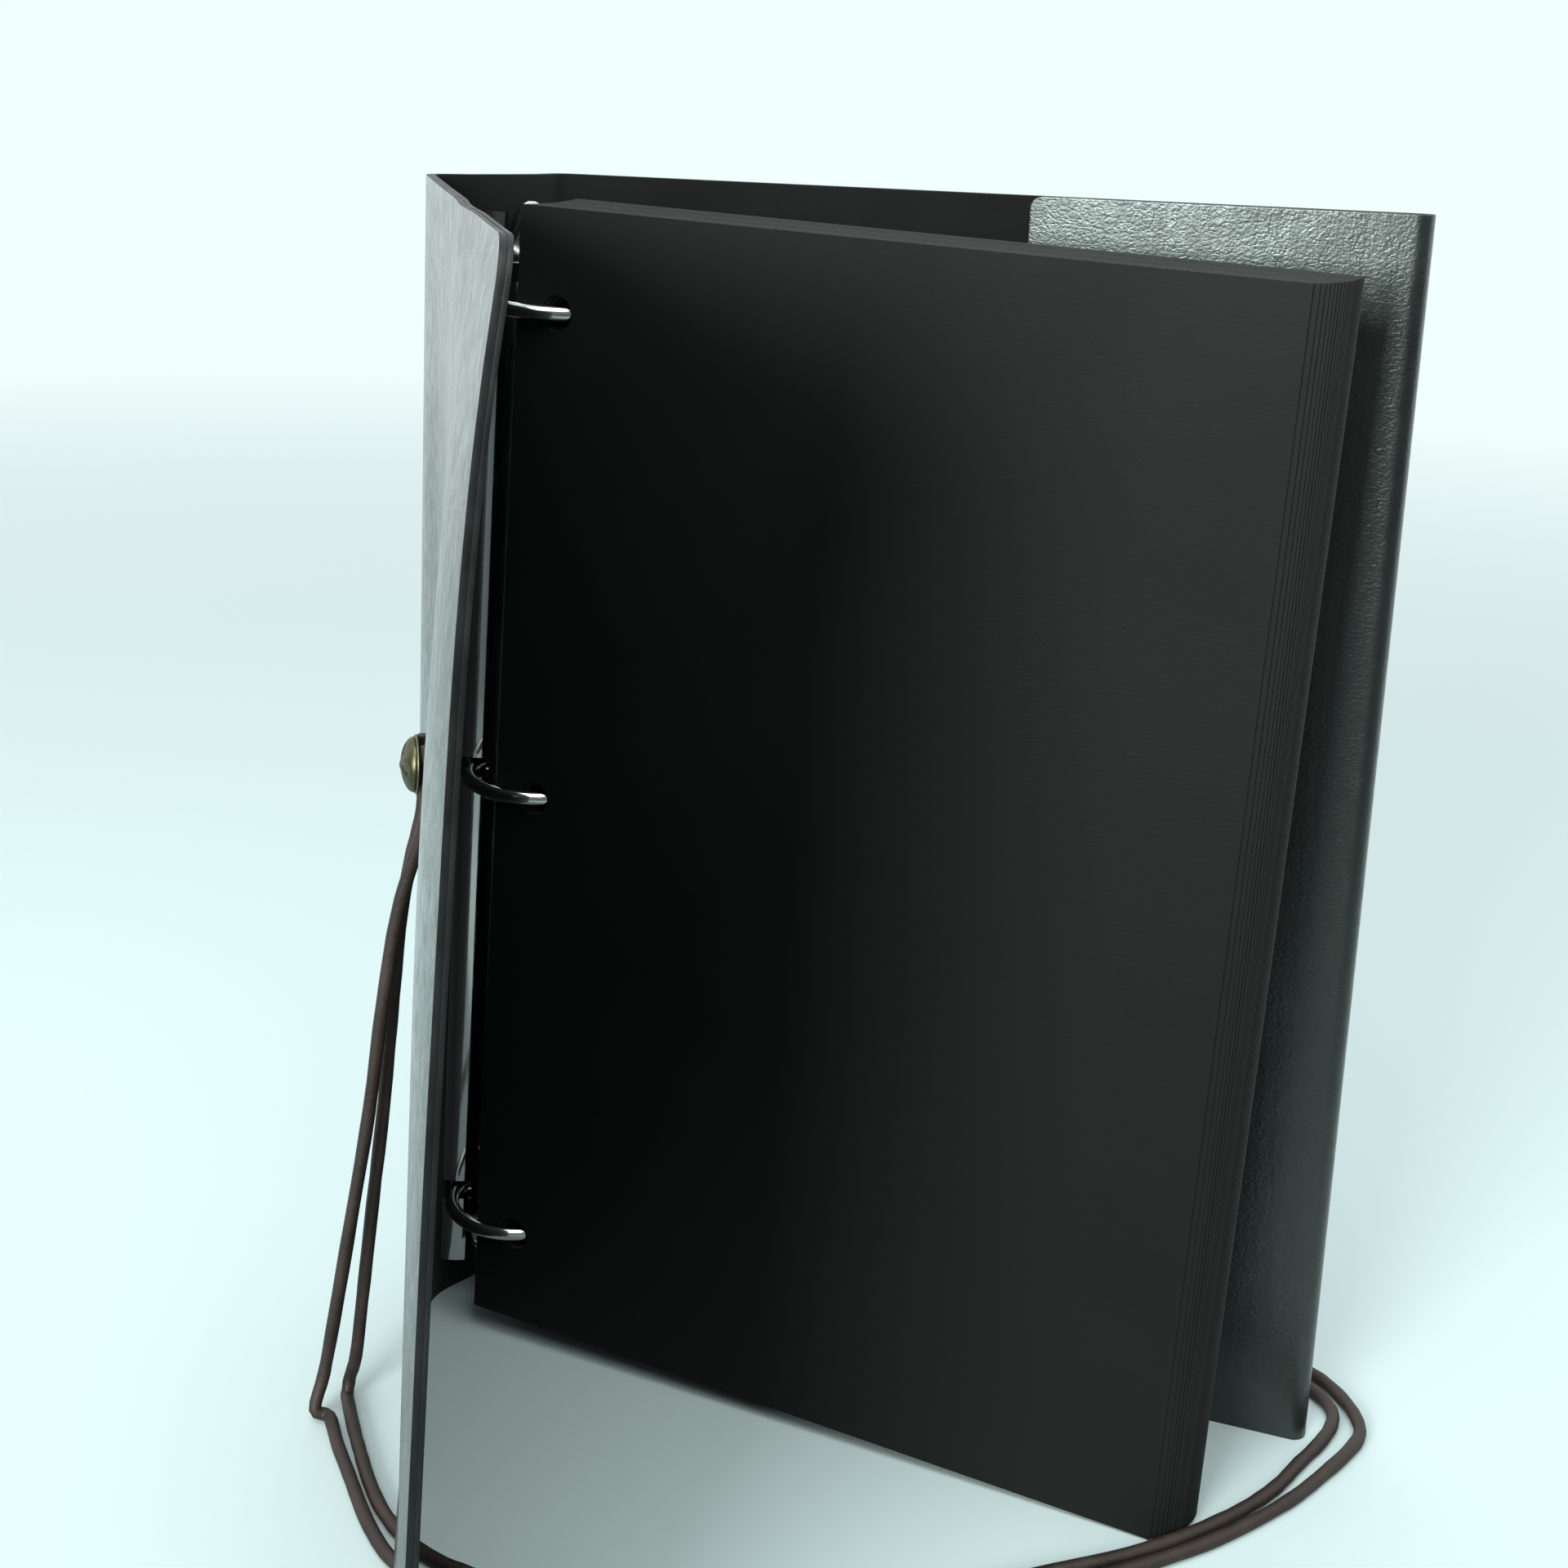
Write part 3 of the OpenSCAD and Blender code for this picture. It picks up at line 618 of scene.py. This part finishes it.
def chrome(name, color, roughness):
    """Bright plated steel with faint rubbing marks."""
    material, tree, shader = new_material(name)
    rub = noise(tree, object_place(tree, scale=(1, 1, 0.2)), 500, 4, 0.6)
    haze = noise(tree, object_place(tree), 60, 3, 0.5)
    dark, light = shades(color, 0.92, 1.0)
    tree.links.new(ramp(tree, haze, [(0.3, dark), (0.7, light)]), shader.inputs["Base Color"])
    shader.inputs["Metallic"].default_value = 1.0
    dull = spread(tree, rub, roughness * 0.7, roughness * 1.5, 0.3, 0.7)
    tree.links.new(dull, shader.inputs["Roughness"])
    bump(tree, shader, rub, 0.00002, 0.3)
    return material


def old_brass(name, color):
    """Darkened brass: brown in the hollows, rubbed brighter on the high places."""
    material, tree, shader = new_material(name)
    place = object_place(tree)
    stain = noise(tree, place, 320, 5, 0.65)
    fine = noise(tree, place, 1800, 3, 0.6)
    high = add(tree, "ShaderNodeNewGeometry").outputs["Pointiness"]
    worn = join(tree, spread(tree, high, -0.35, 0.4, 0.46, 0.56), stain)
    dark, middle, light = shades(color, 0.35, 1.0, 2.2)
    tint = ramp(tree, worn, [(0.3, dark), (0.5, middle), (0.85, light)])
    tree.links.new(tint, shader.inputs["Base Color"])
    shader.inputs["Metallic"].default_value = 1.0
    tree.links.new(spread(tree, stain, 0.5, 0.3, 0.3, 0.7), shader.inputs["Roughness"])
    bump(tree, shader, fine, 0.00006, 0.5)
    return material


def card(name, color, edge_color):
    """Black card: matte with a fine fibre tooth, and lighter in thin layers where it is cut."""
    material, tree, shader = new_material(name)
    place = object_place(tree)
    tooth = noise(tree, place, 2200, 3, 0.7)
    fibres = noise(tree, object_place(tree, scale=(1, 1, 3)), 420, 4, 0.6)
    clouds = noise(tree, place, 14, 4, 0.55)
    a = math.radians(SPINE_YAW + SHEET_OPEN - 180)
    facing = add(tree, "ShaderNodeVectorMath", operation="DOT_PRODUCT")
    facing.inputs[1].default_value = (-math.sin(a), math.cos(a), 0)
    tree.links.new(add(tree, "ShaderNodeTexCoord").outputs["Normal"], facing.inputs[0])
    flat = add(tree, "ShaderNodeMath", operation="ABSOLUTE")
    tree.links.new(facing.outputs["Value"], flat.inputs[0])
    dark, light = shades(color, 0.85, 1.15)
    surface = ramp(tree, clouds, [(0.3, dark), (0.7, light)])
    across = add(tree, "ShaderNodeVectorMath", operation="DOT_PRODUCT")
    across.inputs[1].default_value = facing.inputs[1].default_value
    tree.links.new(place, across.inputs[0])
    layers = add(tree, "ShaderNodeTexNoise", noise_dimensions="1D", Scale=700, Detail=2)
    tree.links.new(across.outputs["Value"], layers.inputs["W"])
    low, high = shades(edge_color, 0.35, 1.6)
    cut = ramp(tree, layers.outputs["Fac"], [(0.4, low), (0.62, high)])
    mask = spread(tree, flat.outputs["Value"], 1.0, 0.0, 0.5, 0.85)
    tree.links.new(blend_colors(tree, mask, surface, cut), shader.inputs["Base Color"])
    tree.links.new(spread(tree, clouds, 0.56, 0.68, 0.3, 0.7), shader.inputs["Roughness"])
    shader.inputs["Specular IOR Level"].default_value = 0.22
    brushed = bump(tree, shader, fibres, 0.00006, 0.4)
    bump(tree, shader, tooth, 0.00005, 0.4, brushed)
    return material


def thong_leather(name, color):
    """Dark brown thong leather with a fine grain and rubbed patches."""
    material, tree, shader = new_material(name)
    place = object_place(tree)
    grain = noise(tree, place, 900, 4, 0.6)
    patches = noise(tree, place, 90, 4, 0.6)
    dark, middle, light = shades(color, 0.6, 1.0, 1.6)
    tint = ramp(tree, patches, [(0.3, dark), (0.5, middle), (0.75, light)])
    tree.links.new(tint, shader.inputs["Base Color"])
    tree.links.new(spread(tree, patches, 0.5, 0.66, 0.3, 0.7), shader.inputs["Roughness"])
    uneven = bump(tree, shader, patches, 0.0006, 0.4)
    bump(tree, shader, grain, 0.0003, 0.6, uneven)
    return material


def repaint(nodes, material):
    for name in nodes:
        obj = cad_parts[name]
        obj.data.materials.clear()
        obj.data.materials.append(material)


class AlbumCoverSettings(bpy.types.PropertyGroup):
    leather_color: FloatVectorProperty(
        name="Leather color", description="Color of the grained outer leather", subtype="COLOR",
        default=(0.012, 0.0145, 0.0135), min=0, max=1)
    lining_color: FloatVectorProperty(
        name="Lining color", description="Color of the suede lining", subtype="COLOR",
        default=(0.006, 0.006, 0.006), min=0, max=1)
    edge_color: FloatVectorProperty(
        name="Edge color", description="Color of the painted cut edges", subtype="COLOR",
        default=(0.011, 0.013, 0.0125), min=0, max=1)
    leather_shine: FloatProperty(
        name="Leather roughness", description="Middle roughness of the grained leather",
        default=0.36, min=0.1, max=0.9, subtype="FACTOR")
    corner_round: FloatProperty(
        name="Corner rounding", description="Radius of the cover's free corners, in millimetres",
        default=8.0, min=1.0, max=14.0)


class AlbumMetalSettings(bpy.types.PropertyGroup):
    chrome_color: FloatVectorProperty(
        name="Chrome color", description="Color of the plated rings and plate", subtype="COLOR",
        default=(0.78, 0.80, 0.79), min=0, max=1)
    chrome_roughness: FloatProperty(
        name="Chrome roughness", description="Middle roughness of the plating", default=0.09,
        min=0.0, max=0.6, subtype="FACTOR")
    button_color: FloatVectorProperty(
        name="Button color", description="Color of the button's old brass", subtype="COLOR",
        default=(0.095, 0.088, 0.052), min=0, max=1)


class AlbumSheetSettings(bpy.types.PropertyGroup):
    card_color: FloatVectorProperty(
        name="Card color", description="Color of the black card sheets", subtype="COLOR",
        default=(0.0052, 0.0064, 0.0054), min=0, max=1)
    cut_color: FloatVectorProperty(
        name="Cut color", description="Color of the cut edges of the sheets", subtype="COLOR",
        default=(0.045, 0.050, 0.045), min=0, max=1)


class AlbumThongSettings(bpy.types.PropertyGroup):
    thong_color: FloatVectorProperty(
        name="Thong color", description="Color of the brown leather thong", subtype="COLOR",
        default=(0.030, 0.017, 0.013), min=0, max=1)
    thong_diameter: FloatProperty(
        name="Thong diameter", description="Thickness of the thong", default=0.003,
        min=0.002, max=0.003, subtype="DISTANCE", unit="LENGTH")


class AlbumStageSettings(bpy.types.PropertyGroup):
    floor_color: FloatVectorProperty(
        name="Floor color", description="Color of the floor near the album", subtype="COLOR",
        default=(0.62, 0.71, 0.72), min=0, max=1)
    backdrop_color: FloatVectorProperty(
        name="Backdrop color", description="Color of the far floor and the backdrop",
        subtype="COLOR", default=(0.88, 1.0, 1.0), min=0, max=1)
    key_power: FloatProperty(
        name="Key light", description="Power of the light left of the camera", default=21.0, min=0,
        max=200, unit="POWER")
    fill_power: FloatProperty(
        name="Fill light", description="Power of the light on the right", default=2.5, min=0, max=200,
        unit="POWER")
    top_power: FloatProperty(
        name="Top light", description="Power of the light above the album", default=15.0, min=0,
        max=200, unit="POWER")


class ALBUM_OT_camera(bpy.types.Operator):
    """Camera at the photograph's angle"""

    bl_idname = "album.camera"
    bl_label = "Camera"

    def execute(self, context):
        focal, cx, cy, size = 2613.4, 835.0, 689.1, 1920.0
        yaw, pitch, roll = -0.0159, 0.2177, 0.0331
        place = (0.05535, -0.47995, 0.29013)
        lens = bpy.data.cameras.new("camera")
        camera = bpy.data.objects.new("camera", lens)
        context.scene.collection.objects.link(camera)
        lens.sensor_width = 36.0
        lens.lens = focal / size * lens.sensor_width
        lens.shift_x = (size / 2 - cx) / size
        lens.shift_y = (cy - size / 2) / size
        lens.clip_start, lens.clip_end = 0.01, 50.0
        ahead = Vector((
            math.sin(yaw) * math.cos(pitch), math.cos(yaw) * math.cos(pitch), -math.sin(pitch)))
        right = Vector((math.cos(yaw), -math.sin(yaw), 0.0))
        up = right.cross(ahead)
        c, n = math.cos(roll), math.sin(roll)
        right, up = c * right + n * up, -n * right + c * up
        camera.matrix_world = Matrix((
            (right.x, up.x, -ahead.x, place[0]),
            (right.y, up.y, -ahead.y, place[1]),
            (right.z, up.z, -ahead.z, place[2]),
            (0, 0, 0, 1)))
        context.scene.camera = camera
        return {"FINISHED"}


class ALBUM_OT_thong(bpy.types.Operator):
    """Doubled thong: down from the button, under the front cover and round the flap fold"""

    bl_idname = "album.thong"
    bl_label = "Thong"

    def execute(self, context):
        s = context.scene.album_thong
        smooth = smooth_route(THONG_ROUTE, 4)
        state = np.random.RandomState(3)
        curve = bpy.data.curves.new("thong_line", "CURVE")
        curve.dimensions = "3D"
        curve.bevel_depth = s.thong_diameter / 2
        curve.bevel_resolution = 4
        curve.use_fill_caps = True
        line = curve.splines.new("POLY")
        line.points.add(len(smooth) - 1)
        for point, place in zip(line.points, smooth):
            point.co = (*place, 1)
            point.radius = 0.97 + 0.05 * state.uniform(-1, 1)
        obj = bpy.data.objects.new("thong_lace", curve)
        context.scene.collection.objects.link(obj)
        make_active(obj)
        bpy.ops.object.convert(target="MESH")
        obj = context.object
        obj.data.materials.append(thong_leather("thong leather", s.thong_color))
        bpy.ops.object.shade_smooth_by_angle(angle=math.radians(60))
        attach(obj, "front_cover")
        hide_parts("thong")
        return {"FINISHED"}


def smooth_route(points, steps):
    """Points on a smooth curve through the route."""
    pts = np.asarray(points, float)
    wide = np.concatenate([[2 * pts[0] - pts[1]], pts, [2 * pts[-1] - pts[-2]]])
    out = []
    for a, b, c, d in zip(wide, wide[1:], wide[2:], wide[3:]):
        for k in range(steps):
            t = k / steps
            out.append(0.5 * (
                2 * b + (c - a) * t + (2 * a - 5 * b + 4 * c - d) * t**2
                + (3 * b - a - 3 * c + d) * t**3))
    return np.array(out + [pts[-1]])


def cover_piece(name, corners, stations, depth, thickness, corner_round, shape, materials):
    rows = cover_points(corners, stations, depth, corner_round, shape)
    return leather_sheet(name, from_spine(rows), thickness, materials)


class ALBUM_OT_front_cover(bpy.types.Operator):
    """Front cover with its half of the spine: grained leather outside, suede inside"""

    bl_idname = "album.front_cover"
    bl_label = "Front cover"

    def execute(self, context):
        s = context.scene.album_cover
        leather = grain_leather("cover leather", s.leather_color, s.leather_shine)
        edge = painted_edge("cover edge", s.edge_color)
        lining = suede("suede lining", s.lining_color)
        outer = cover_piece(
            "front_leather_sheet", front_corners, front_stations(), LEATHER_OUT, LEATHER_THICK,
            s.corner_round, front_shape, [leather, edge])
        inner = cover_piece(
            "front_lining_sheet", front_corners, front_stations(), -LINING_IN, LINING_THICK,
            s.corner_round, front_shape, [lining, edge])
        for obj in (outer, inner):
            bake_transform(obj)
        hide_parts("leather_front", "fold_front")
        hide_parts("lining_front")
        return {"FINISHED"}


class ALBUM_OT_back_cover(bpy.types.Operator):
    """Back cover with its half of the spine"""

    bl_idname = "album.back_cover"
    bl_label = "Back cover"

    def execute(self, context):
        leather = bpy.data.materials["cover leather"]
        edge = bpy.data.materials["cover edge"]
        lining = bpy.data.materials["suede lining"]
        outer = cover_piece(
            "back_leather_sheet", back_corners, back_stations(), -LEATHER_OUT, LEATHER_THICK, 0,
            back_shape, [leather, edge])
        inner = cover_piece(
            "back_lining_sheet", back_corners, back_stations(), LINING_IN, LINING_THICK, 0,
            back_shape, [lining, edge])
        for obj in (outer, inner):
            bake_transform(obj)
        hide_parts("leather_back", "leather_spine", "fold_back_strip")
        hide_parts("lining_back", "lining_spine")
        return {"FINISHED"}


class ALBUM_OT_flap(bpy.types.Operator):
    """Flap folded inwards over the back cover's fore-edge"""

    bl_idname = "album.flap"
    bl_label = "Flap"

    def execute(self, context):
        edge = bpy.data.materials["cover edge"]
        outer = leather_sheet(
            "flap_leather_sheet", from_back(flap_points(LEATHER_OUT)), LEATHER_THICK,
            [bpy.data.materials["cover leather"], edge])
        inner = leather_sheet(
            "flap_lining_sheet", from_back(flap_points(-LINING_IN)), LINING_THICK,
            [bpy.data.materials["suede lining"], edge])
        for obj in (outer, inner):
            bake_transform(obj)
        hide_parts("leather_flap", "leather_fold")
        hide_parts("lining_flap", "lining_fold")
        return {"FINISHED"}


class ALBUM_OT_rings(bpy.types.Operator):
    """Chrome plate, rings, levers and rivets, and the steel blades inside"""

    bl_idname = "album.rings"
    bl_label = "Rings"

    def execute(self, context):
        s = context.scene.album_metal
        bright = chrome("ring chrome", s.chrome_color, s.chrome_roughness)
        dull = chrome("blade steel", shades(s.chrome_color, 0.7)[0], 0.35)
        rings = [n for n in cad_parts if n.startswith("ring_")]
        repaint(rings + ["lever_top", "lever_bottom", "rivet_top", "rivet_bottom"], bright)
        repaint(["blade_left", "blade_right"], dull)
        return {"FINISHED"}


def cap_profile():
    """Radius and height along the section of the button's cap, from its foot to its top."""
    rim = [(2.1, 0.02), (4.6, 0.0), (5.8, 0.0), (6.08, 0.08), (6.2, 0.26), (6.17, 0.46)]
    rim += [(6.02, 0.58), (5.9, 0.6)]
    crown = []
    for k in range(18):
        a = math.radians(5 * k)
        crown.append(
            (DOME_RADIUS * math.cos(a), CAP_EDGE + (CAP_HEIGHT - CAP_EDGE) * math.sin(a)))
    return rim + crown + [(0.0, CAP_HEIGHT)]


def star_relief(points):
    """Depth of the eight-rayed star that is pressed into the dome, and its raised middle."""
    r = np.hypot(points[:, 0], points[:, 1])
    turned = np.arctan2(points[:, 1], points[:, 0])
    ray = np.clip(np.cos(4 * turned) * 1.6 - 0.2, 0, 1)
    band = np.clip((r - STAR_FROM) / 0.6, 0, 1) * np.clip((STAR_TO - r) / 0.9, 0, 1)
    boss = np.clip(1.1 - r, 0, 0.4)
    top = points[:, 2] > CAP_EDGE + 0.1
    return np.where(top, boss * 0.5 - STAR_DEPTH * ray * band, 0.0)


def node_middle(name):
    return read_points(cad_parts[name].data).mean(axis=0)


class ALBUM_OT_button(bpy.types.Operator):
    """Domed button cap with a pressed star, its post and plate, and the burrs on the spine"""

    bl_idname = "album.button"
    bl_label = "Button"

    def execute(self, context):
        brass = old_brass("old brass", context.scene.album_metal.button_color)
        repaint(["button_cap", "button_post", "button_back", "burr_top", "burr_bottom"], brass)
        profile = cap_profile()
        mesh = bpy.data.meshes.new("button_dome")
        mesh.from_pydata(
            [(r, 0, h) for r, h in profile], [(k, k + 1) for k in range(len(profile) - 1)], [])
        obj = bpy.data.objects.new("button_dome", mesh)
        context.scene.collection.objects.link(obj)
        lathe = obj.modifiers.new("Lathe", "SCREW")
        lathe.steps = 96
        lathe.render_steps = 96
        lathe.use_merge_vertices = True
        lathe.merge_threshold = 0.001
        apply_modifiers(obj)
        make_active(obj)
        bpy.ops.object.mode_set(mode="EDIT")
        bpy.ops.mesh.select_all(action="SELECT")
        bpy.ops.mesh.remove_doubles(threshold=0.001)
        bpy.ops.mesh.select_all(action="DESELECT")
        bpy.ops.mesh.select_non_manifold()
        bpy.ops.mesh.fill()
        bpy.ops.mesh.select_all(action="SELECT")
        bpy.ops.mesh.normals_make_consistent(inside=False)
        bpy.ops.object.mode_set(mode="OBJECT")
        local = read_points(obj.data)
        local[:, 2] += star_relief(local)
        back, cap = node_middle("button_back"), node_middle("button_cap")
        out = (cap - back) / np.linalg.norm(cap - back)
        foot = (read_points(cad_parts["button_cap"].data) @ out).min()
        side = np.cross(out, (0, 0, 1))
        side /= np.linalg.norm(side)
        base = back + out * (foot - back @ out)
        placed = base + (
            local[:, :1] * side + local[:, 1:2] * np.cross(out, side) + local[:, 2:] * out) * MM
        write_points(obj.data, placed)
        obj.data.materials.append(brass)
        turn_faces_out(obj)
        bpy.ops.object.shade_smooth_by_angle(angle=math.radians(50))
        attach(obj, "front_cover")
        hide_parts("button_cap")
        return {"FINISHED"}


class ALBUM_OT_sheets(bpy.types.Operator):
    """Black card on all sheets"""

    bl_idname = "album.sheets"
    bl_label = "Card sheets"

    def execute(self, context):
        s = context.scene.album_sheets
        black = card("black card", s.card_color, s.cut_color)
        repaint([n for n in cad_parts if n.startswith("page_")], black)
        return {"FINISHED"}


def backdrop_material(floor_color, backdrop_color):
    """Floor that takes the album's shadow near it and fades into the backdrop further off."""
    material, tree, shader = new_material("stage floor")
    shader.inputs["Roughness"].default_value = 0.8
    shader.inputs["Specular IOR Level"].default_value = 0.1
    far = add(tree, "ShaderNodeEmission")
    far.inputs["Color"].default_value = (*backdrop_color, 1)
    place = object_place(tree)
    away = add(tree, "ShaderNodeVectorMath", operation="LENGTH")
    tree.links.new(place, away.inputs[0])
    share = spread(tree, away.outputs["Value"], 0.0, 1.0, 0.3, 1.7)
    seen = add(tree, "ShaderNodeLightPath").outputs["Is Camera Ray"]
    # Painted shade: for bounced rays the floor's colour is darkened on the camera's side, standing in
    # for a dim room there; camera rays always see the floor's own colour.
    side = add(tree, "ShaderNodeSeparateXYZ")
    tree.links.new(place, side.inputs[0])
    behind = spread(tree, side.outputs["Y"], 0.0, 1.0, -0.45, 0.2)
    lit = join(tree, behind, seen, "MAXIMUM")
    # Painted shade: where lit is low the floor colour drops to 0.08 of itself.
    near = blend_colors(tree, lit, shades(floor_color, 0.08)[0], tuple(floor_color))
    tree.links.new(near, shader.inputs["Base Color"])
    mix = add(tree, "ShaderNodeMixShader")
    tree.links.new(join(tree, share, lit, "MULTIPLY"), mix.inputs[0])
    tree.links.new(shader.outputs[0], mix.inputs[1])
    tree.links.new(far.outputs[0], mix.inputs[2])
    tree.links.new(mix.outputs[0], tree.nodes["Material Output"].inputs["Surface"])
    return material


def soft_room(scene, backdrop_color):
    """Bright backdrop behind the album, darker room in front of it."""
    world = bpy.data.worlds.new("Soft room")
    world.use_nodes = True
    scene.world = world
    tree = world.node_tree
    light = tree.nodes["Background"]
    light.inputs["Color"].default_value = (0.90, 0.97, 0.97, 1)
    toward = add(tree, "ShaderNodeSeparateXYZ")
    tree.links.new(add(tree, "ShaderNodeTexCoord").outputs["Generated"], toward.inputs[0])
    strength = spread(tree, toward.outputs["Y"], 0.22, 1.15, -0.45, 0.35)
    tree.links.new(strength, light.inputs["Strength"])
    shown = add(tree, "ShaderNodeBackground")
    shown.inputs["Color"].default_value = (*backdrop_color, 1)
    shown.inputs["Strength"].default_value = 1.0
    rays = add(tree, "ShaderNodeLightPath")
    mix = add(tree, "ShaderNodeMixShader")
    tree.links.new(rays.outputs["Is Camera Ray"], mix.inputs["Fac"])
    tree.links.new(light.outputs[0], mix.inputs[1])
    tree.links.new(shown.outputs[0], mix.inputs[2])
    tree.links.new(mix.outputs[0], tree.nodes["World Output"].inputs["Surface"])


def soft_lamp(scene, name, place, aim, size, power):
    lamp = bpy.data.lights.new(name, "AREA")
    lamp.shape = "SQUARE"
    lamp.size = size
    lamp.energy = power
    lamp.color = (0.90, 1.0, 0.975)
    obj = bpy.data.objects.new(name, lamp)
    scene.collection.objects.link(obj)
    obj.location = place
    obj.rotation_mode = "QUATERNION"
    obj.rotation_quaternion = (Vector(aim) - Vector(place)).to_track_quat("-Z", "Y")


class ALBUM_OT_stage(bpy.types.Operator):
    """Floor, backdrop and soft light"""

    bl_idname = "album.stage"
    bl_label = "Stage"

    def execute(self, context):
        s = context.scene.album_stage
        context.scene.view_settings.view_transform = "Standard"
        deselect_all()
        bpy.ops.mesh.primitive_plane_add(size=60.0, location=(0, 0, 0))
        floor = context.object
        floor.name = "stage_floor"
        floor.data.materials.append(backdrop_material(s.floor_color, s.backdrop_color))
        soft_room(context.scene, s.backdrop_color)
        middle = (0.05, -0.05, 0.13)
        soft_lamp(context.scene, "key light", (-0.60, -1.22, 0.50), middle, 0.5, s.key_power)
        soft_lamp(context.scene, "top light", (0.0, -0.70, 1.35), middle, 1.2, s.top_power)
        soft_lamp(context.scene, "fill light", (1.1, -0.6, 0.9), middle, 1.0, s.fill_power)
        return {"FINISHED"}


class ALBUM_PT_panel(bpy.types.Panel):
    bl_label = "Album"
    bl_idname = "ALBUM_PT_panel"
    bl_space_type = "VIEW_3D"
    bl_region_type = "UI"
    bl_category = "Album"

    def draw(self, context):
        for operator in OPERATORS:
            self.layout.operator(operator.bl_idname)
        for name, group in SETTINGS:
            box = self.layout.box()
            for key in group.__annotations__:
                box.prop(getattr(context.scene, name), key)


OPERATORS = (
    ALBUM_OT_camera,
    ALBUM_OT_thong,
    ALBUM_OT_front_cover,
    ALBUM_OT_back_cover,
    ALBUM_OT_flap,
    ALBUM_OT_rings,
    ALBUM_OT_button,
    ALBUM_OT_sheets,
    ALBUM_OT_stage,
)
SETTINGS = (
    ("album_cover", AlbumCoverSettings),
    ("album_metal", AlbumMetalSettings),
    ("album_sheets", AlbumSheetSettings),
    ("album_thong", AlbumThongSettings),
    ("album_stage", AlbumStageSettings),
)


def register():
    for name, group in SETTINGS:
        bpy.utils.register_class(group)
        setattr(bpy.types.Scene, name, PointerProperty(type=group))
    for operator in OPERATORS:
        bpy.utils.register_class(operator)
    bpy.utils.register_class(ALBUM_PT_panel)


def unregister():
    bpy.utils.unregister_class(ALBUM_PT_panel)
    for operator in reversed(OPERATORS):
        bpy.utils.unregister_class(operator)
    for name, group in reversed(SETTINGS):
        delattr(bpy.types.Scene, name)
        bpy.utils.unregister_class(group)


def main():
    register()
    bpy.ops.album.camera()
    bpy.ops.album.thong()
    bpy.ops.album.front_cover()
    bpy.ops.album.back_cover()
    bpy.ops.album.flap()
    bpy.ops.album.rings()
    bpy.ops.album.button()
    bpy.ops.album.sheets()
    bpy.ops.album.stage()


if __name__ == "__main__":
    main()
